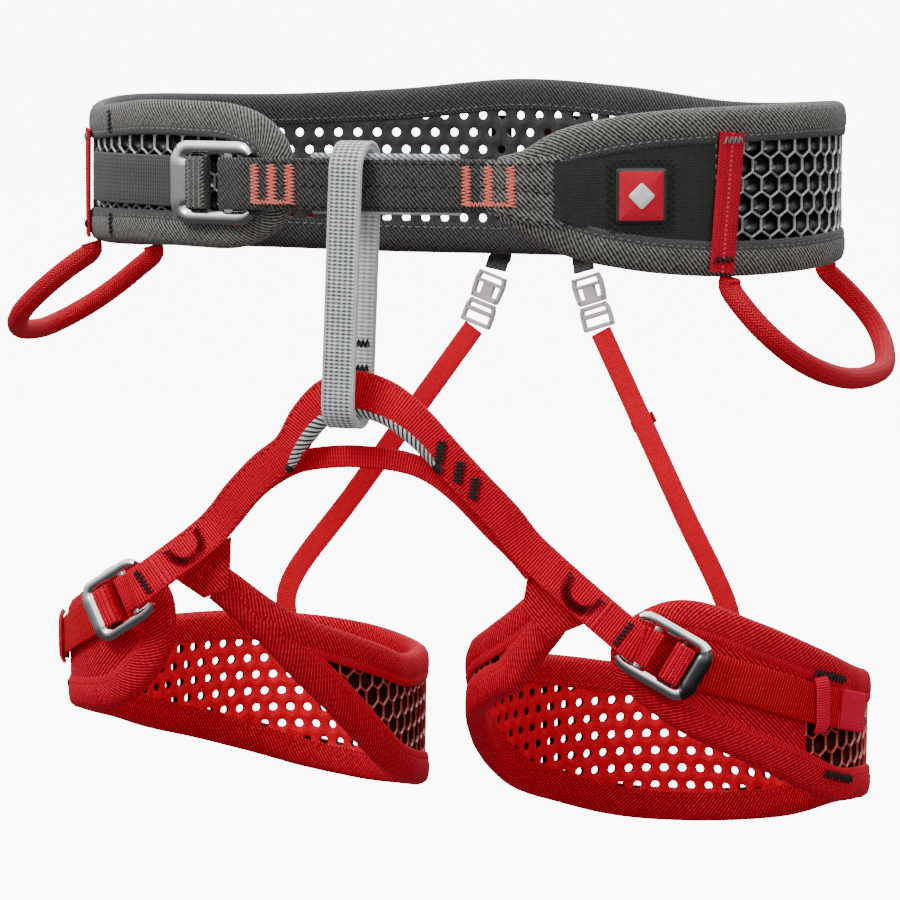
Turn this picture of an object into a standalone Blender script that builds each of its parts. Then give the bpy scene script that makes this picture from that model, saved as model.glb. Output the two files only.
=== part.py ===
"""A climbing harness at its real size: waist belt, belay loop, leg loops, gear loops and risers.

Metres, +Z up. The origin is the middle of the waist belt. The front faces -Y and the wearer's left is +X.
Soft pieces are flat patterns, wrapped round level ovals and thickened: u is the distance along the oval
from its front, z is the height and d is the distance out from the inner face.
"""

from math import cos, pi, radians, sin

import bmesh
import bpy
import numpy as np
from mathutils import Matrix, Vector

MM = 0.001

# Ovals: half width and half depth of the inner faces.
WAIST_HALF = (155 * MM, 108 * MM)
LEG_HALF = {"right": (66.5 * MM, 90 * MM), "left": (76.5 * MM, 80.5 * MM)}
LEG_CENTRE_X = {"right": 97 * MM, "left": 92 * MM}
STEP = 12 * MM  # spacing of the points along a wrapped piece

# Layers on the ovals: middle of each layer and its thickness.
FOAM = (1.75 * MM, 3.5 * MM)
MESH = (4.75 * MM, 1.5 * MM)
BINDING = (6.6 * MM, 1.2 * MM)
LEG_BINDING = (7.0 * MM, 1.0 * MM)
TAIL = (6.9 * MM, 1.2 * MM)
PANEL = (6.6 * MM, 1.0 * MM)
PATCH = (8.4 * MM, 1.6 * MM)
STRIP = (8.3 * MM, 1.2 * MM)
BINDING_WIDTH = 13 * MM
WEBBING = 1.2 * MM

# Waist belt pattern: from the nose on the wearer's left, round the back, to the round end under the buckle.
WAIST_NOSE = 53 * MM
WAIST_END = 802 * MM
WAIST_ROUND = 38 * MM
WAIST_TOP = (
    (53, 11.5), (62, 14), (73, 20.5), (96, 26.8), (125, 30), (151, 31), (199, 32.3), (250, 31.5),
    (325, 30.5), (379, 36.5), (427, 39.5), (482, 35), (527, 33), (620, 33), (669, 29.5), (725, 32.5), (802, 31),
)
WAIST_BOTTOM = (
    (53, -12), (64, -18), (78, -24.5), (101, -30), (131, -33.3), (174, -33.3), (210, -32), (300, -35),
    (403, -37.5), (436, -37.3), (482, -36.8), (546, -34), (620, -30), (659, -26.3), (710, -24.3), (802, -25),
)

# Webbing on the waist belt.
STRAP_Z = 1.2 * MM
STRAP_WIDTH = 20.6 * MM
STRAP_END_U = 52.4 * MM
SLEEVE_U = (-22 * MM, 38 * MM)
TAIL_U = (-152 * MM, -77 * MM)
PANEL_U = (81 * MM, 137 * MM)
PATCH_U = (97.5 * MM, 115.5 * MM)
PATCH_Z = (-11.5 * MM, 6.5 * MM)

# Buckles: x runs from the fixed strap towards the tail. Sizes of the waist buckle; the leg buckles are smaller.
BUCKLE = {
    "length": 42 * MM, "height": 33 * MM, "bar": 8.8 * MM, "arm": 5.4 * MM, "thick": 2.5 * MM,
    "cross": (-12 * MM, -7.5 * MM), "slider": (3.4 * MM, 9.4 * MM), "level": 10.6 * MM, "webbing": STRAP_WIDTH,
}
LEG_SCALE = 0.8
LEG_WEBBING = 16 * MM
WAIST_BUCKLE_U = -64.5 * MM

# Leg loops, from the narrow end inside the thigh, round the back, to the round end under the buckle.
# The wearer's right loop lies a little higher and reaches further round the front.
SIDES = {"right": -1, "left": 1}
LEG_TIP = {"right": -29.5 * MM, "left": 2 * MM}
LEG_TAIL_D = 9.0 * MM
LEG_TAB = {"right": 463.5 * MM, "left": 478 * MM}
LEG_ROUND = 34 * MM
LEG_TOP = {
    "right": (
        (-30, -154), (-4, -151.5), (8, -152.8), (22, -158.5), (43, -171), (72, -181), (100, -190), (130, -197),
        (164, -201.3), (206, -203.4), (250, -207), (300, -210), (340, -207.5), (374, -204), (393, -197),
        (419, -187.4), (439, -179.3), (452, -171), (464, -163),
    ),
    "left": (
        (2, -165), (13, -162.8), (24, -161.5), (35, -162.9), (58, -172), (88, -185.1), (115, -196), (150, -204),
        (200, -212), (250, -216), (291, -215.4), (310, -211.9), (339, -206.6), (370, -202), (398, -196),
        (413, -188.2), (430, -181), (445, -173), (463, -161), (478, -156),
    ),
}
LEG_BOTTOM = {
    "right": (
        (-30, -197), (-15, -201), (-2, -207.5), (18, -215.8), (45, -221), (80, -227), (110, -235), (130, -240.7),
        (154, -249.3), (185, -259.1), (210, -267.6), (234, -275.3), (258, -278.8), (300, -275), (340, -266),
        (371, -258), (384, -252.5), (401, -240.3), (424, -219.6), (443, -201.5), (455, -187), (464, -176),
    ),
    "left": (
        (2, -203), (13, -206), (35, -216.8), (67, -233.2), (94, -246.5), (125, -252), (155, -258), (183, -266.1),
        (217, -278.8), (256, -284.9), (291, -282.5), (321, -273.1), (347, -262.6), (366, -250), (384, -237),
        (400, -225), (422, -215), (437, -208), (452, -201), (463, -188.9), (471, -180), (478, -171),
    ),
}
LEG_BUCKLE_AT = {"right": (14 * MM, -171 * MM), "left": (22 * MM, -182.5 * MM)}
LEG_SLOPE = radians(-30)
LEG_TAIL_PATH = {
    "right": ((23.5, -176.5), (34, -182), (50, -189), (62, -193), (76, -197), (90, -200.5)),
    "left": ((32, -187.5), (42.5, -191), (60, -197.5), (77, -204), (95, -209.5), (113, -214.5)),
}
LEG_KEEPER = {"right": (66 * MM, 6 * MM, 22 * MM), "left": (84 * MM, 6 * MM, 22 * MM)}
TAB_PATH = {
    "right": ((-66, -93.6, -150), (-67.5, -94, -156), (-69.5, -94.5, -162), (-72, -95, -168)),
    "left": ((64, -90.4, -150), (68, -90.4, -157), (72, -90.2, -164), (76, -90.0, -171)),
}
TAB_WIDTH = 15 * MM

# Gear loops: where the front and the rear end leave the belt, how far out and how far down the loop reaches.
GEAR_LOOPS = {
    "front_right": (-162 * MM, -238 * MM, 46 * MM, 38 * MM, 4.4 * MM),
    "front_left": (142 * MM, 262 * MM, 35 * MM, 43 * MM, 4.4 * MM),
    "rear_right": (-266 * MM, -357 * MM, 22 * MM, 14 * MM, 2.6 * MM),
    "rear_left": (284 * MM, 372 * MM, 22 * MM, 14 * MM, 2.6 * MM),
}
GEAR_STRIP_WIDTH = 11 * MM
REAR_GEAR_Z = -8 * MM

# Belay loop, a ring round the waist strap and the arch of the leg loops.
BELAY_WIDTH = 13.5 * MM
BELAY_THICK = 3.4 * MM
BELAY_TOP, BELAY_BOTTOM = 16.6 * MM, -93.4 * MM
BELAY_Y = (-117.7 * MM, -98.3 * MM)
BELAY_X = (-4.7 * MM, -9 * MM)
BELAY_PIVOT = (0, -110.5 * MM, 1.2 * MM)
LEG_PIVOT = (0, -108 * MM, -83.7 * MM)

# Leg webbing, from one leg buckle over the arch to the other: points and the way its face looks.
ARCH = (
    ((-74, -96.5, -141), (-0.15, -1, 0)), ((-60, -99.5, -126), (-0.1, -1, 0)), ((-47, -103, -114), (0, -1, 0)),
    ((-35, -106, -105), (0, -1, 0.1)), ((-26.5, -108, -92), (0, -1, 0.15)), ((-17, -108.6, -82.6), (0, -1, 0.2)),
    ((-5, -108.8, -79.5), (0, -1, 0.25)), ((8, -108.6, -83), (0, -1, 0.2)), ((19.5, -108, -91.5), (0, -1, 0.15)),
    ((30, -106, -103), (0, -1, 0.1)), ((41, -103.5, -115), (0, -1, 0.05)), ((54, -100, -129), (0.05, -1, 0)),
    ((66, -96.5, -144), (0.12, -1, 0)),
)
ARCH_WIDTH = 15 * MM
SLEEVE_SPAN = (3, 10)
SLEEVE_WIDTH = 6.4 * MM
CROSS = (
    ((-71, -93.2, -141.5), (-0.1, -1, 0)), ((-63, -95, -133), (-0.1, -1, 0)), ((-54, -98, -123.5), (0, -1, 0)),
    ((-44, -100.6, -116), (0, -1, 0)), ((-32, -102, -110), (0, -1, 0)), ((-16, -103, -107.2), (0, -1, 0)),
    ((-3, -103.2, -106.8), (0, -1, 0)), ((12, -103, -108), (0, -1, 0)), ((24, -102, -112), (0, -1, 0)),
    ((36, -100, -121), (0, -1, 0)), ((48, -96.6, -134), (0, -1, 0)), ((57, -93.2, -143.5), (0.05, -1, 0)),
)
CROSS_WIDTH = 9 * MM

# Risers: each runs from the back of the belt, through its buckle, down to the back of a leg loop.
RISER_TOP = {"right": (-21, 112.5, -38), "left": (16, 112.5, -38)}
RISER_BUCKLE = {"right": (-26.5, 111.5, -53), "left": (20.8, 111.5, -53)}
RISER_FOOT = {"right": (229, -213), "left": (246, -214)}
RISER_WIDTH = 10 * MM
RISER_U = {"right": -395 * MM, "left": 401 * MM}
RISER_KEEPER = 0.33

COLOURS = {
    "charcoal": (0.055, 0.055, 0.058), "black": (0.012, 0.013, 0.014), "red": (0.62, 0.005, 0.012),
    "dark_red": (0.35, 0.004, 0.008), "grey": (0.55, 0.58, 0.6), "alloy": (0.6, 0.61, 0.62), "plastic": (0.72, 0.68, 0.69),
}


# --- scene and small helpers -------------------------------------------------------------------------

def clear_scene():
    for obj in list(bpy.data.objects):
        bpy.data.objects.remove(obj)


def material(colour, roughness=0.75, metallic=0.0):
    made = bpy.data.materials.get(colour)
    if made:
        return made
    made = bpy.data.materials.new(colour)
    made.use_nodes = True
    shader = made.node_tree.nodes["Principled BSDF"]
    shader.inputs["Base Color"].default_value = (*COLOURS[colour], 1)
    shader.inputs["Roughness"].default_value = roughness
    shader.inputs["Metallic"].default_value = metallic
    made.diffuse_color = (*COLOURS[colour], 1)
    return made


def add(name, data, colour, roughness=0.75, metallic=0.0):
    obj = bpy.data.objects.new(name, data)
    data.materials.append(material(colour, roughness, metallic))
    HARNESS.objects.link(obj)
    return obj


def through(stations, at):
    """A smooth curve through (position, value) stations given in millimetres, read at a place in metres."""
    where = np.array([s[0] for s in stations]) * MM
    value = np.array([s[1] for s in stations]) * MM
    slope = np.gradient(value, where)
    i = int(np.clip(np.searchsorted(where, at) - 1, 0, len(where) - 2))
    h = where[i + 1] - where[i]
    t = float(np.clip((at - where[i]) / h, 0, 1))
    return (
        (2 * t**3 - 3 * t**2 + 1) * value[i] + (t**3 - 2 * t**2 + t) * h * slope[i]
        + (3 * t**2 - 2 * t**3) * value[i + 1] + (t**3 - t**2) * h * slope[i + 1]
    )


def spaced(start, end, step=STEP):
    return np.linspace(start, end, max(2, int(round(abs(end - start) / step)) + 1))


def smooth_path(points, per_span=3):
    """Points on a Catmull-Rom curve through the given points."""
    given = [Vector(p) for p in points]
    ends = [2 * given[0] - given[1], *given, 2 * given[-1] - given[-2]]
    path = []
    for a, b, c, d in zip(ends, ends[1:], ends[2:], ends[3:]):
        for k in range(per_span):
            t = k / per_span
            path.append(0.5 * (2 * b + (c - a) * t + (2 * a - 5 * b + 4 * c - d) * t**2 + (3 * b - a - 3 * c + d) * t**3))
    return [*path, given[-1]]


def turn_about(name, point, nodes):
    """An empty on a joint's axis, with the pieces that move on it as its children."""
    empty = bpy.data.objects.new(name, None)
    empty.location = point
    HARNESS.objects.link(empty)
    bpy.context.view_layer.update()
    for node in nodes:
        child = bpy.data.objects[node]
        child.parent = empty
        child.matrix_parent_inverse = empty.matrix_world.inverted()
    return empty


# --- ovals --------------------------------------------------------------------------------------------

class Oval:
    """A level oval, measured along its edge from its front point."""

    def __init__(self, half, centre_x=0.0, side=1):
        self.half, self.centre_x, self.side = half, centre_x, side
        self.turns = np.linspace(-pi, 3 * pi, 2401)
        x, y = half[0] * np.sin(self.turns), -half[1] * np.cos(self.turns)
        self.arcs = np.concatenate([[0], np.cumsum(np.hypot(np.diff(x), np.diff(y)))])
        self.arcs -= np.interp(0, self.turns, self.arcs)

    def normal(self, u):
        turn = float(np.interp(u, self.arcs, self.turns))
        return Vector((self.side * sin(turn) / self.half[0], -cos(turn) / self.half[1], 0)).normalized()

    def along(self, u):
        out = self.normal(u)
        return Vector((-out.y * self.side, out.x * self.side, 0))

    def place(self, u, z, d):
        turn = float(np.interp(u, self.arcs, self.turns))
        x = self.centre_x + self.half[0] * sin(turn)
        return Vector((self.side * x, -self.half[1] * cos(turn), z)) + self.normal(u) * d


# --- soft pieces --------------------------------------------------------------------------------------

def thicken(obj, thickness):
    made = obj.modifiers.new("thickness", "SOLIDIFY")
    made.thickness = thickness
    made.offset = 0
    made.use_even_offset = True
    return obj


def mapped_grid(name, colour, columns, rows, at, thickness, closed=False):
    """A grid of columns x rows cells, with each corner put where at(column, row) says, thickened."""
    bm = bmesh.new()
    bmesh.ops.create_grid(bm, x_segments=columns, y_segments=rows, size=1)
    for vertex in bm.verts:
        column = round((vertex.co.x + 1) / 2 * columns)
        row = round((vertex.co.y + 1) / 2 * rows)
        vertex.co = at(column % columns if closed else column, row)
    if closed:
        bmesh.ops.remove_doubles(bm, verts=bm.verts, dist=1e-5)
    mesh = bpy.data.meshes.new(name)
    bm.to_mesh(mesh)
    bm.free()
    mesh.shade_smooth()
    return thicken(add(name, mesh, colour), thickness)


def ribbon(name, colour, path, across, width, thickness=WEBBING, closed=False):
    """Webbing along a path. Across holds, for each point, the direction of its width."""

    def at(column, row):
        return path[column] + across[column] * width * (row - 0.5)

    return mapped_grid(name, colour, len(path) - (not closed), 1, at, thickness, closed)


def facing_ribbon(name, colour, stations, width, thickness=WEBBING, per_span=3):
    """Webbing through stations of (point, the way its face looks), in millimetres."""
    path = smooth_path([Vector(p) * MM for p, _ in stations], per_span)
    looks = smooth_path([Vector(n).normalized() for _, n in stations], per_span)
    return ribbon(name, colour, path, widths_across(path, looks), width, thickness)


def widths_across(path, looks):
    across = []
    for i, look in enumerate(looks):
        ahead = path[min(i + 1, len(path) - 1)] - path[max(i - 1, 0)]
        across.append(look.cross(ahead).normalized())
    return across


class Band:
    """A shaped band on an oval: a narrow merged start, and a round far end."""

    def __init__(self, oval, top, bottom, start, end, round_length, drop=0.0):
        self.oval, self.top_stations, self.bottom_stations = oval, top, bottom
        self.start, self.end, self.round_length, self.drop = start, end, round_length, drop

    def roundness(self, s):
        """1 along the band, falling to nearly 0 at its round end."""
        left = abs(self.end - s) / self.round_length
        return (1 - (1 - min(left, 1.0)) ** 2.4) ** (1 / 2.4)

    def edges(self, s):
        top, bottom = through(self.top_stations, s), through(self.bottom_stations, s)
        middle, half = (top + bottom) / 2, (top - bottom) / 2 * max(self.roundness(s), 0.12)
        return middle - half + self.drop, middle + half + self.drop

    def stations(self, inset=0.0):
        """Positions along the band, closer together in the round end."""
        way = 1 if self.end > self.start else -1
        first, last = self.start + way * inset, self.end - way * inset
        round_start = self.end - way * self.round_length
        turns = np.linspace(0, pi / 2, 6)[1:]
        rounded = round_start + (last - round_start) * np.sin(turns)
        return [*spaced(first, round_start), *rounded]

    def layer(self, name, colour, level, inset=0.6 * MM, rows=2):
        """One layer of the band, over its whole height."""
        where = self.stations(inset)

        def at(column, row):
            low, high = self.edges(where[column])
            low, high = low + inset, high - inset
            return self.oval.place(where[column], low + (high - low) * row / rows, level[0])

        return mapped_grid(name, colour, len(where) - 1, rows, at, level[1])

    def rim(self):
        """The outline from the start, along the lower edge, round the end, and back along the upper edge."""
        where = self.stations()
        low = [Vector((s, self.edges(s)[0])) for s in where]
        high = [Vector((s, self.edges(s)[1])) for s in where]
        return [*low, *reversed(high)]

    def binding(self, name, colour, level=BINDING, width=BINDING_WIDTH):
        """The tape round the rim. Its inner edge stays on its own side of the middle line."""
        rim = self.rim()
        turn = 1 if self.end > self.start else -1
        outer, inner = [], []
        for i, point in enumerate(rim):
            ahead = (rim[min(i + 1, len(rim) - 1)] - rim[max(i - 1, 0)]).normalized()
            inward = Vector((-ahead.y, ahead.x)) * turn
            low, high = self.edges(point.x)
            lower = i < len(rim) / 2
            reach = point + inward * width
            limit = (low + high) / 2 + (-0.3 * MM if lower else 0.3 * MM)
            reach.y = min(reach.y, limit) if lower else max(reach.y, limit)
            outer.append(point)
            inner.append(reach)

        def at(column, row):
            spot = inner[column] if row else outer[column]
            return self.oval.place(spot.x, spot.y, level[0])

        return mapped_grid(name, colour, len(rim) - 1, 1, at, level[1])


def patch_on(oval, name, colour, u_range, z_range, level, step=STEP):
    """A flat rectangle of the pattern, wrapped on an oval. z_range may depend on u."""
    where = spaced(*u_range, step)

    def at(column, row):
        low, high = z_range(where[column]) if callable(z_range) else z_range
        return oval.place(where[column], low + (high - low) * row, level[0])

    return mapped_grid(name, colour, len(where) - 1, 1, at, level[1])


# --- buckles ------------------------------------------------------------------------------------------

def rounded_box(x_low, x_high, half, radius, steps=4):
    """Corners of a rounded rectangle, anticlockwise."""
    points = []
    for cx, cy, start in (
        (x_high - radius, half - radius, 0), (x_low + radius, half - radius, 90),
        (x_low + radius, radius - half, 180), (x_high - radius, radius - half, 270),
    ):
        for k in range(steps + 1):
            turn = radians(start + 90 * k / steps)
            points.append((cx + radius * cos(turn), cy + radius * sin(turn)))
    return points


def plate(name, colour, outlines, thickness, matrix):
    """A flat plate with holes: the first outline is its edge and the rest are cut from it."""
    curve = bpy.data.curves.new(name, "CURVE")
    curve.dimensions = "2D"
    curve.fill_mode = "BOTH"
    curve.extrude = thickness / 2
    for outline in outlines:
        spline = curve.splines.new("POLY")
        spline.points.add(len(outline) - 1)
        for point, (x, y) in zip(spline.points, outline):
            point.co = (x, y, 0, 1)
        spline.use_cyclic_u = True
    obj = add(name, curve, colour, 0.3, 1.0 if colour == "alloy" else 0.0)
    obj.matrix_world = matrix
    return obj


def frame_outline(size):
    """The buckle frame: a thick bar at the tail end, two arms, and open between the arms' tips."""
    left, right = -size["length"] / 2, size["length"] / 2
    half, arm = size["height"] / 2, size["arm"]
    body = rounded_box(left, right, half, 4.5 * MM)
    tip, inner = size["cross"][0], half - arm
    mouth = [(left, inner), (tip, inner), (tip, -inner), (left, -inner)]
    rim = [*body[0:9], *mouth, *body[11:20]]
    window = rounded_box(size["cross"][1], right - size["bar"], half - arm, 0.3 * MM, 2)
    return [rim, window]


def scaled(size, factor, webbing):
    made = {}
    for key, value in size.items():
        made[key] = tuple(v * factor for v in value) if isinstance(value, tuple) else value * factor
    made.update(webbing=webbing, thick=size["thick"], level=size["level"], arm=(made["height"] - webbing - 1.6 * MM) / 2)
    return made


def wrap_path(size):
    """Round the slider bar, seen from the side: (x, d) points of the webbing's middle."""
    x0, x1 = size["slider"]
    out = 1.0 * MM
    low, high = size["level"] - size["thick"] / 2 - out, size["level"] + size["thick"] / 2 + out
    corner = 0.7 * MM
    return [
        (x1 - 1.6 * MM, low), (x1 + out - corner, low), (x1 + out, low + corner), (x1 + out, high - corner),
        (x1 + out - corner, high), (x0 - out + corner, high), (x0 - out, high - corner), (x0 - out, low + corner),
        (x0 - out + corner, low), (x0 + 1.6 * MM, low),
    ]


def fold_path(size, end_x):
    """Round the cross bar: from under it, round its slot side, and out over the arms' tips to end_x."""
    x0, x1 = size["cross"]
    out = 1.0 * MM
    low, high = size["level"] - size["thick"] / 2 - out, size["level"] + size["thick"] / 2 + out
    corner = 0.7 * MM
    return [
        (x0, low), (x1 + out - corner, low), (x1 + out, low + corner), (x1 + out, high - corner),
        (x1 + out - corner, high), (x0, high), (end_x, high),
    ]


def buckle(prefix, size, matrix):
    """A buckle's frame, its slider bar, and the webbing wrapped round the slider."""
    plate(f"{prefix}_frame", "alloy", frame_outline(size), size["thick"], matrix)
    x0, x1 = size["slider"]
    bar = rounded_box(x0, x1, size["webbing"] / 2 + 0.3 * MM, 1 * MM, 2)
    pivot = matrix @ Vector((sum(size["cross"]) / 2, 0, 0))
    plate(f"{prefix}_slider", "alloy", [bar], size["thick"], matrix)
    path, across = [], []
    for x, d in wrap_path(size):
        path.append(matrix @ Vector((x, 0, d - size["level"])))
        across.append(matrix.to_3x3().col[1].copy())
    colour = "charcoal" if prefix == "waist_buckle" else "red"
    ribbon(f"{prefix}_wrap", colour, path, across, size["webbing"])
    turn_about(f"{prefix}_pivot", pivot, [f"{prefix}_{piece}" for piece in ("frame", "slider", "wrap")])


def buckle_matrix(oval, u, z, d, slope, way):
    """x along the strap towards its tail, y across it, z out of the belt."""
    out = oval.normal(u)
    along = oval.along(u) * way * cos(slope) + Vector((0, 0, 1)) * sin(slope)
    up = out.cross(along)
    made = Matrix((along, up, out)).transposed().to_4x4()
    made.translation = oval.place(u, z, d)
    return made


# --- waist belt ---------------------------------------------------------------------------------------

def waist_belt():
    band = Band(WAIST, WAIST_TOP, WAIST_BOTTOM, WAIST_NOSE, WAIST_END, WAIST_ROUND)
    band.layer("waist_foam", "black", FOAM)
    band.layer("waist_mesh", "black", MESH)
    band.binding("waist_binding", "charcoal")

    def panel_z(u):
        low, high = band.edges(u)
        return low + BINDING_WIDTH + 1.0 * MM, high - BINDING_WIDTH - 1.0 * MM

    patch_on(WAIST, "wing_panel", "black", PANEL_U, panel_z, PANEL)
    patch_on(WAIST, "wing_patch", "red", PATCH_U, PATCH_Z, PATCH, 6 * MM)
    return band


def waist_webbing():
    half = STRAP_WIDTH / 2
    patch_on(WAIST, "waist_tail", "charcoal", TAIL_U, (STRAP_Z - half, STRAP_Z + half), TAIL)
    sleeve_half = half + 1 * MM
    patch_on(WAIST, "tie_in_sleeve", "grey", SLEEVE_U, (STRAP_Z - sleeve_half, STRAP_Z + sleeve_half), (1.6 * MM, 1.4 * MM))
    matrix = buckle_matrix(WAIST, WAIST_BUCKLE_U, STRAP_Z, BUCKLE["level"], 0.0, -1)
    fold = [(x, d - BUCKLE["level"]) for x, d in fold_path(BUCKLE, -19 * MM)]
    way = [(u * MM, d * MM) for u, d in ((-38, 11.4), (-31.5, 9.3), (-24.5, 6.7), (-14, 4.5), (0, 3.8), (14, 3.8), (27, 3.8), (40, 3.8))]
    way.append((STRAP_END_U, 3.8 * MM))

    def at(column, row):
        if column < len(fold):
            x, d = fold[column]
            return matrix @ Vector((x, STRAP_WIDTH * (0.5 - row), d))
        u, d = way[column - len(fold)]
        return WAIST.place(u, STRAP_Z + STRAP_WIDTH * (row - 0.5), d)

    mapped_grid("waist_strap", "charcoal", len(fold) + len(way) - 1, 1, at, WEBBING)


def gear_loop(name, front_u, rear_u, out, down, radius, band, top_z=None):
    """A springy tube between two ends on the belt, bowed out and down."""
    ends = []
    for u in (front_u, rear_u):
        if top_z is None:
            low = band.edges(u if u > 0 else u + WAIST_LENGTH)[0]
            ends.append(WAIST.place(u, low - 1.5 * MM, STRIP[0]))
        else:
            ends.append(WAIST.place(u, top_z, STRIP[0] + STRIP[1] / 2 + radius + 0.4 * MM))
    away = (WAIST.normal(front_u) + WAIST.normal(rear_u)).normalized()
    chord = ends[1] - ends[0]
    reach = away * out + Vector((0, 0, -down))
    points = []
    if top_z is None:
        points.append(ends[0])
        reach.z += 4 * MM
    for along, share in GEAR_SHAPE:
        hang = Vector((0, 0, -4 * MM if top_z is None else 0))
        points.append(ends[0] + chord * along + reach * share + hang)
    if top_z is None:
        points.append(ends[1])
    curve = bpy.data.curves.new(name, "CURVE")
    curve.dimensions = "3D"
    curve.bevel_depth = radius
    curve.bevel_resolution = 2
    curve.use_fill_caps = True
    spline = curve.splines.new("POLY")
    path = smooth_path(points, 2)
    spline.points.add(len(path) - 1)
    for point, spot in zip(spline.points, path):
        point.co = (*spot, 1)
    add(name, curve, "red", 0.6)
    turn_about(f"{name}_pivot", (ends[0] + ends[1]) / 2, [name])


GEAR_SHAPE = (
    (0.0, 0.0), (-0.02, 0.2), (0.0, 0.45), (0.08, 0.7), (0.22, 0.88), (0.4, 0.98), (0.6, 1.0), (0.78, 0.96),
    (0.92, 0.82), (1.02, 0.62), (1.05, 0.4), (1.03, 0.18), (1.0, 0.0),
)


def gear_loops(band):
    for name, (front_u, rear_u, out, down, radius) in GEAR_LOOPS.items():
        rear = name.startswith("rear")
        gear_loop(f"gear_loop_{name}", front_u, rear_u, out, down, radius, band, REAR_GEAR_Z if rear else None)
        for end, u in (("front", front_u), ("rear", rear_u)):
            if rear:
                continue
            low, high = band.edges(u if u > 0 else u + WAIST_LENGTH)
            top = high - BINDING_WIDTH + 4 * MM
            span = (u - GEAR_STRIP_WIDTH / 2, u + GEAR_STRIP_WIDTH / 2)
            patch_on(WAIST, f"gear_strip_{name[6:]}_{end}", "red", span, (low + 1 * MM, top), STRIP)


def haul_loop():
    """A small sewn loop in the middle of the back."""
    middle = WAIST_LENGTH / 2
    way = [(-20, 8.3), (-12, 8.3), (-8, 10.5), (-4, 13.5), (0, 14.5), (4, 13.5), (8, 10.5), (12, 8.3), (20, 8.3)]

    def at(column, row):
        z, d = way[column]
        return WAIST.place(middle + (row - 0.5) * 12 * MM, z * MM + 3 * MM, d * MM)

    mapped_grid("haul_loop", "red", len(way) - 1, 1, at, WEBBING)


# --- leg loops ----------------------------------------------------------------------------------------

def leg_loop(side):
    oval = LEGS[side]
    band = Band(oval, LEG_TOP[side], LEG_BOTTOM[side], LEG_TAB[side], LEG_TIP[side], LEG_ROUND)
    band.layer(f"leg_foam_{side}", "dark_red", FOAM)
    band.layer(f"leg_mesh_{side}", "dark_red", MESH)
    band.binding(f"leg_binding_{side}", "red", LEG_BINDING)
    size = scaled(BUCKLE, LEG_SCALE, LEG_WEBBING)
    u, z = LEG_BUCKLE_AT[side]
    matrix = buckle_matrix(oval, u, z, size["level"] + 1.2 * MM, LEG_SLOPE, 1)
    buckle(f"leg_buckle_{side}", size, matrix)
    leg_tail(side, oval)
    leg_tab(side)
    return matrix, size


def leg_tail(side, oval):
    path, across = [], []
    for u, z in LEG_TAIL_PATH[side]:
        path.append(oval.place(u * MM, z * MM, LEG_TAIL_D))
        along = (oval.along(u * MM) + Vector((0, 0, -0.34))).normalized()
        across.append(oval.normal(u * MM).cross(along))
    ribbon(f"leg_tail_{side}", "dark_red", path, across, LEG_WEBBING)
    u, width, height = LEG_KEEPER[side]
    z = through(LEG_TAIL_PATH[side], u)
    span, rise = (u - width / 2, u + width / 2), (z - height / 2, z + height / 2)
    patch_on(oval, f"leg_keeper_{side}", "red", span, rise, (10.7 * MM, 1.0 * MM))


def leg_tab(side):
    """The folded tape that ties the pad's narrow end to the webbing, behind it."""
    stations = [(point, (0, -1, 0)) for point in TAB_PATH[side]]
    facing_ribbon(f"leg_tab_{side}", "red", stations, TAB_WIDTH, WEBBING)


def leg_webbing(matrices):
    """One length of webbing from buckle to buckle over the arch, and the second layer behind it."""
    path, across = [], []

    def add_fold(side, turned):
        matrix, size = matrices[side]
        points = fold_path(size, -19 * MM)
        for x, d in points if not turned else reversed(points):
            path.append(matrix @ Vector((x, 0, d - size["level"])))
            across.append(matrix.to_3x3().col[1] * (-1 if not turned else 1))

    add_fold("right", False)
    middle = smooth_path([Vector(p) * MM for p, _ in ARCH], 2)
    looks = smooth_path([Vector(n).normalized() for _, n in ARCH], 2)
    for spot, width_way in zip(middle, widths_across(middle, looks)):
        path.append(spot)
        across.append(width_way * -1)
    add_fold("left", True)
    up = Vector((0, 0, 1))
    across = [a if a.dot(up) > 0 else -a for a in across]
    ribbon("leg_webbing", "red", path, across, ARCH_WIDTH)
    facing_ribbon("cross_webbing", "red", CROSS, CROSS_WIDTH, WEBBING, 2)
    first, last = SLEEVE_SPAN
    sleeve = [((x, y + 1.7, z - 4), n) for (x, y, z), n in ARCH[first:last]]
    facing_ribbon("arch_sleeve", "grey", sleeve, SLEEVE_WIDTH, WEBBING, 2)


def belay_loop():
    """A ring of layered webbing, upright from front to back, leaning a little to one side."""
    radius = (BELAY_Y[1] - BELAY_Y[0]) / 2
    middle_y = (BELAY_Y[0] + BELAY_Y[1]) / 2
    path = []
    for centre_z, start in ((BELAY_TOP - radius, 0), (BELAY_BOTTOM + radius, 180)):
        for k in range(7):
            turn = radians(start + 180 * k / 6)
            path.append(Vector((0, middle_y + radius * cos(turn), centre_z + radius * sin(turn))))
        if start == 0:
            path += [Vector((0, BELAY_Y[0], z * MM)) for z in (-20, -40, -60)]
    path += [Vector((0, BELAY_Y[1], z * MM)) for z in (-60, -40, -20)]
    for spot in path:
        share = (spot.z - BELAY_BOTTOM) / (BELAY_TOP - BELAY_BOTTOM)
        spot.x = BELAY_X[1] + (BELAY_X[0] - BELAY_X[1]) * share
    across = [Vector((1, 0, 0))] * len(path)
    ribbon("belay_loop", "grey", path, across, BELAY_WIDTH, BELAY_THICK, closed=True)


# --- risers -------------------------------------------------------------------------------------------

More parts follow.
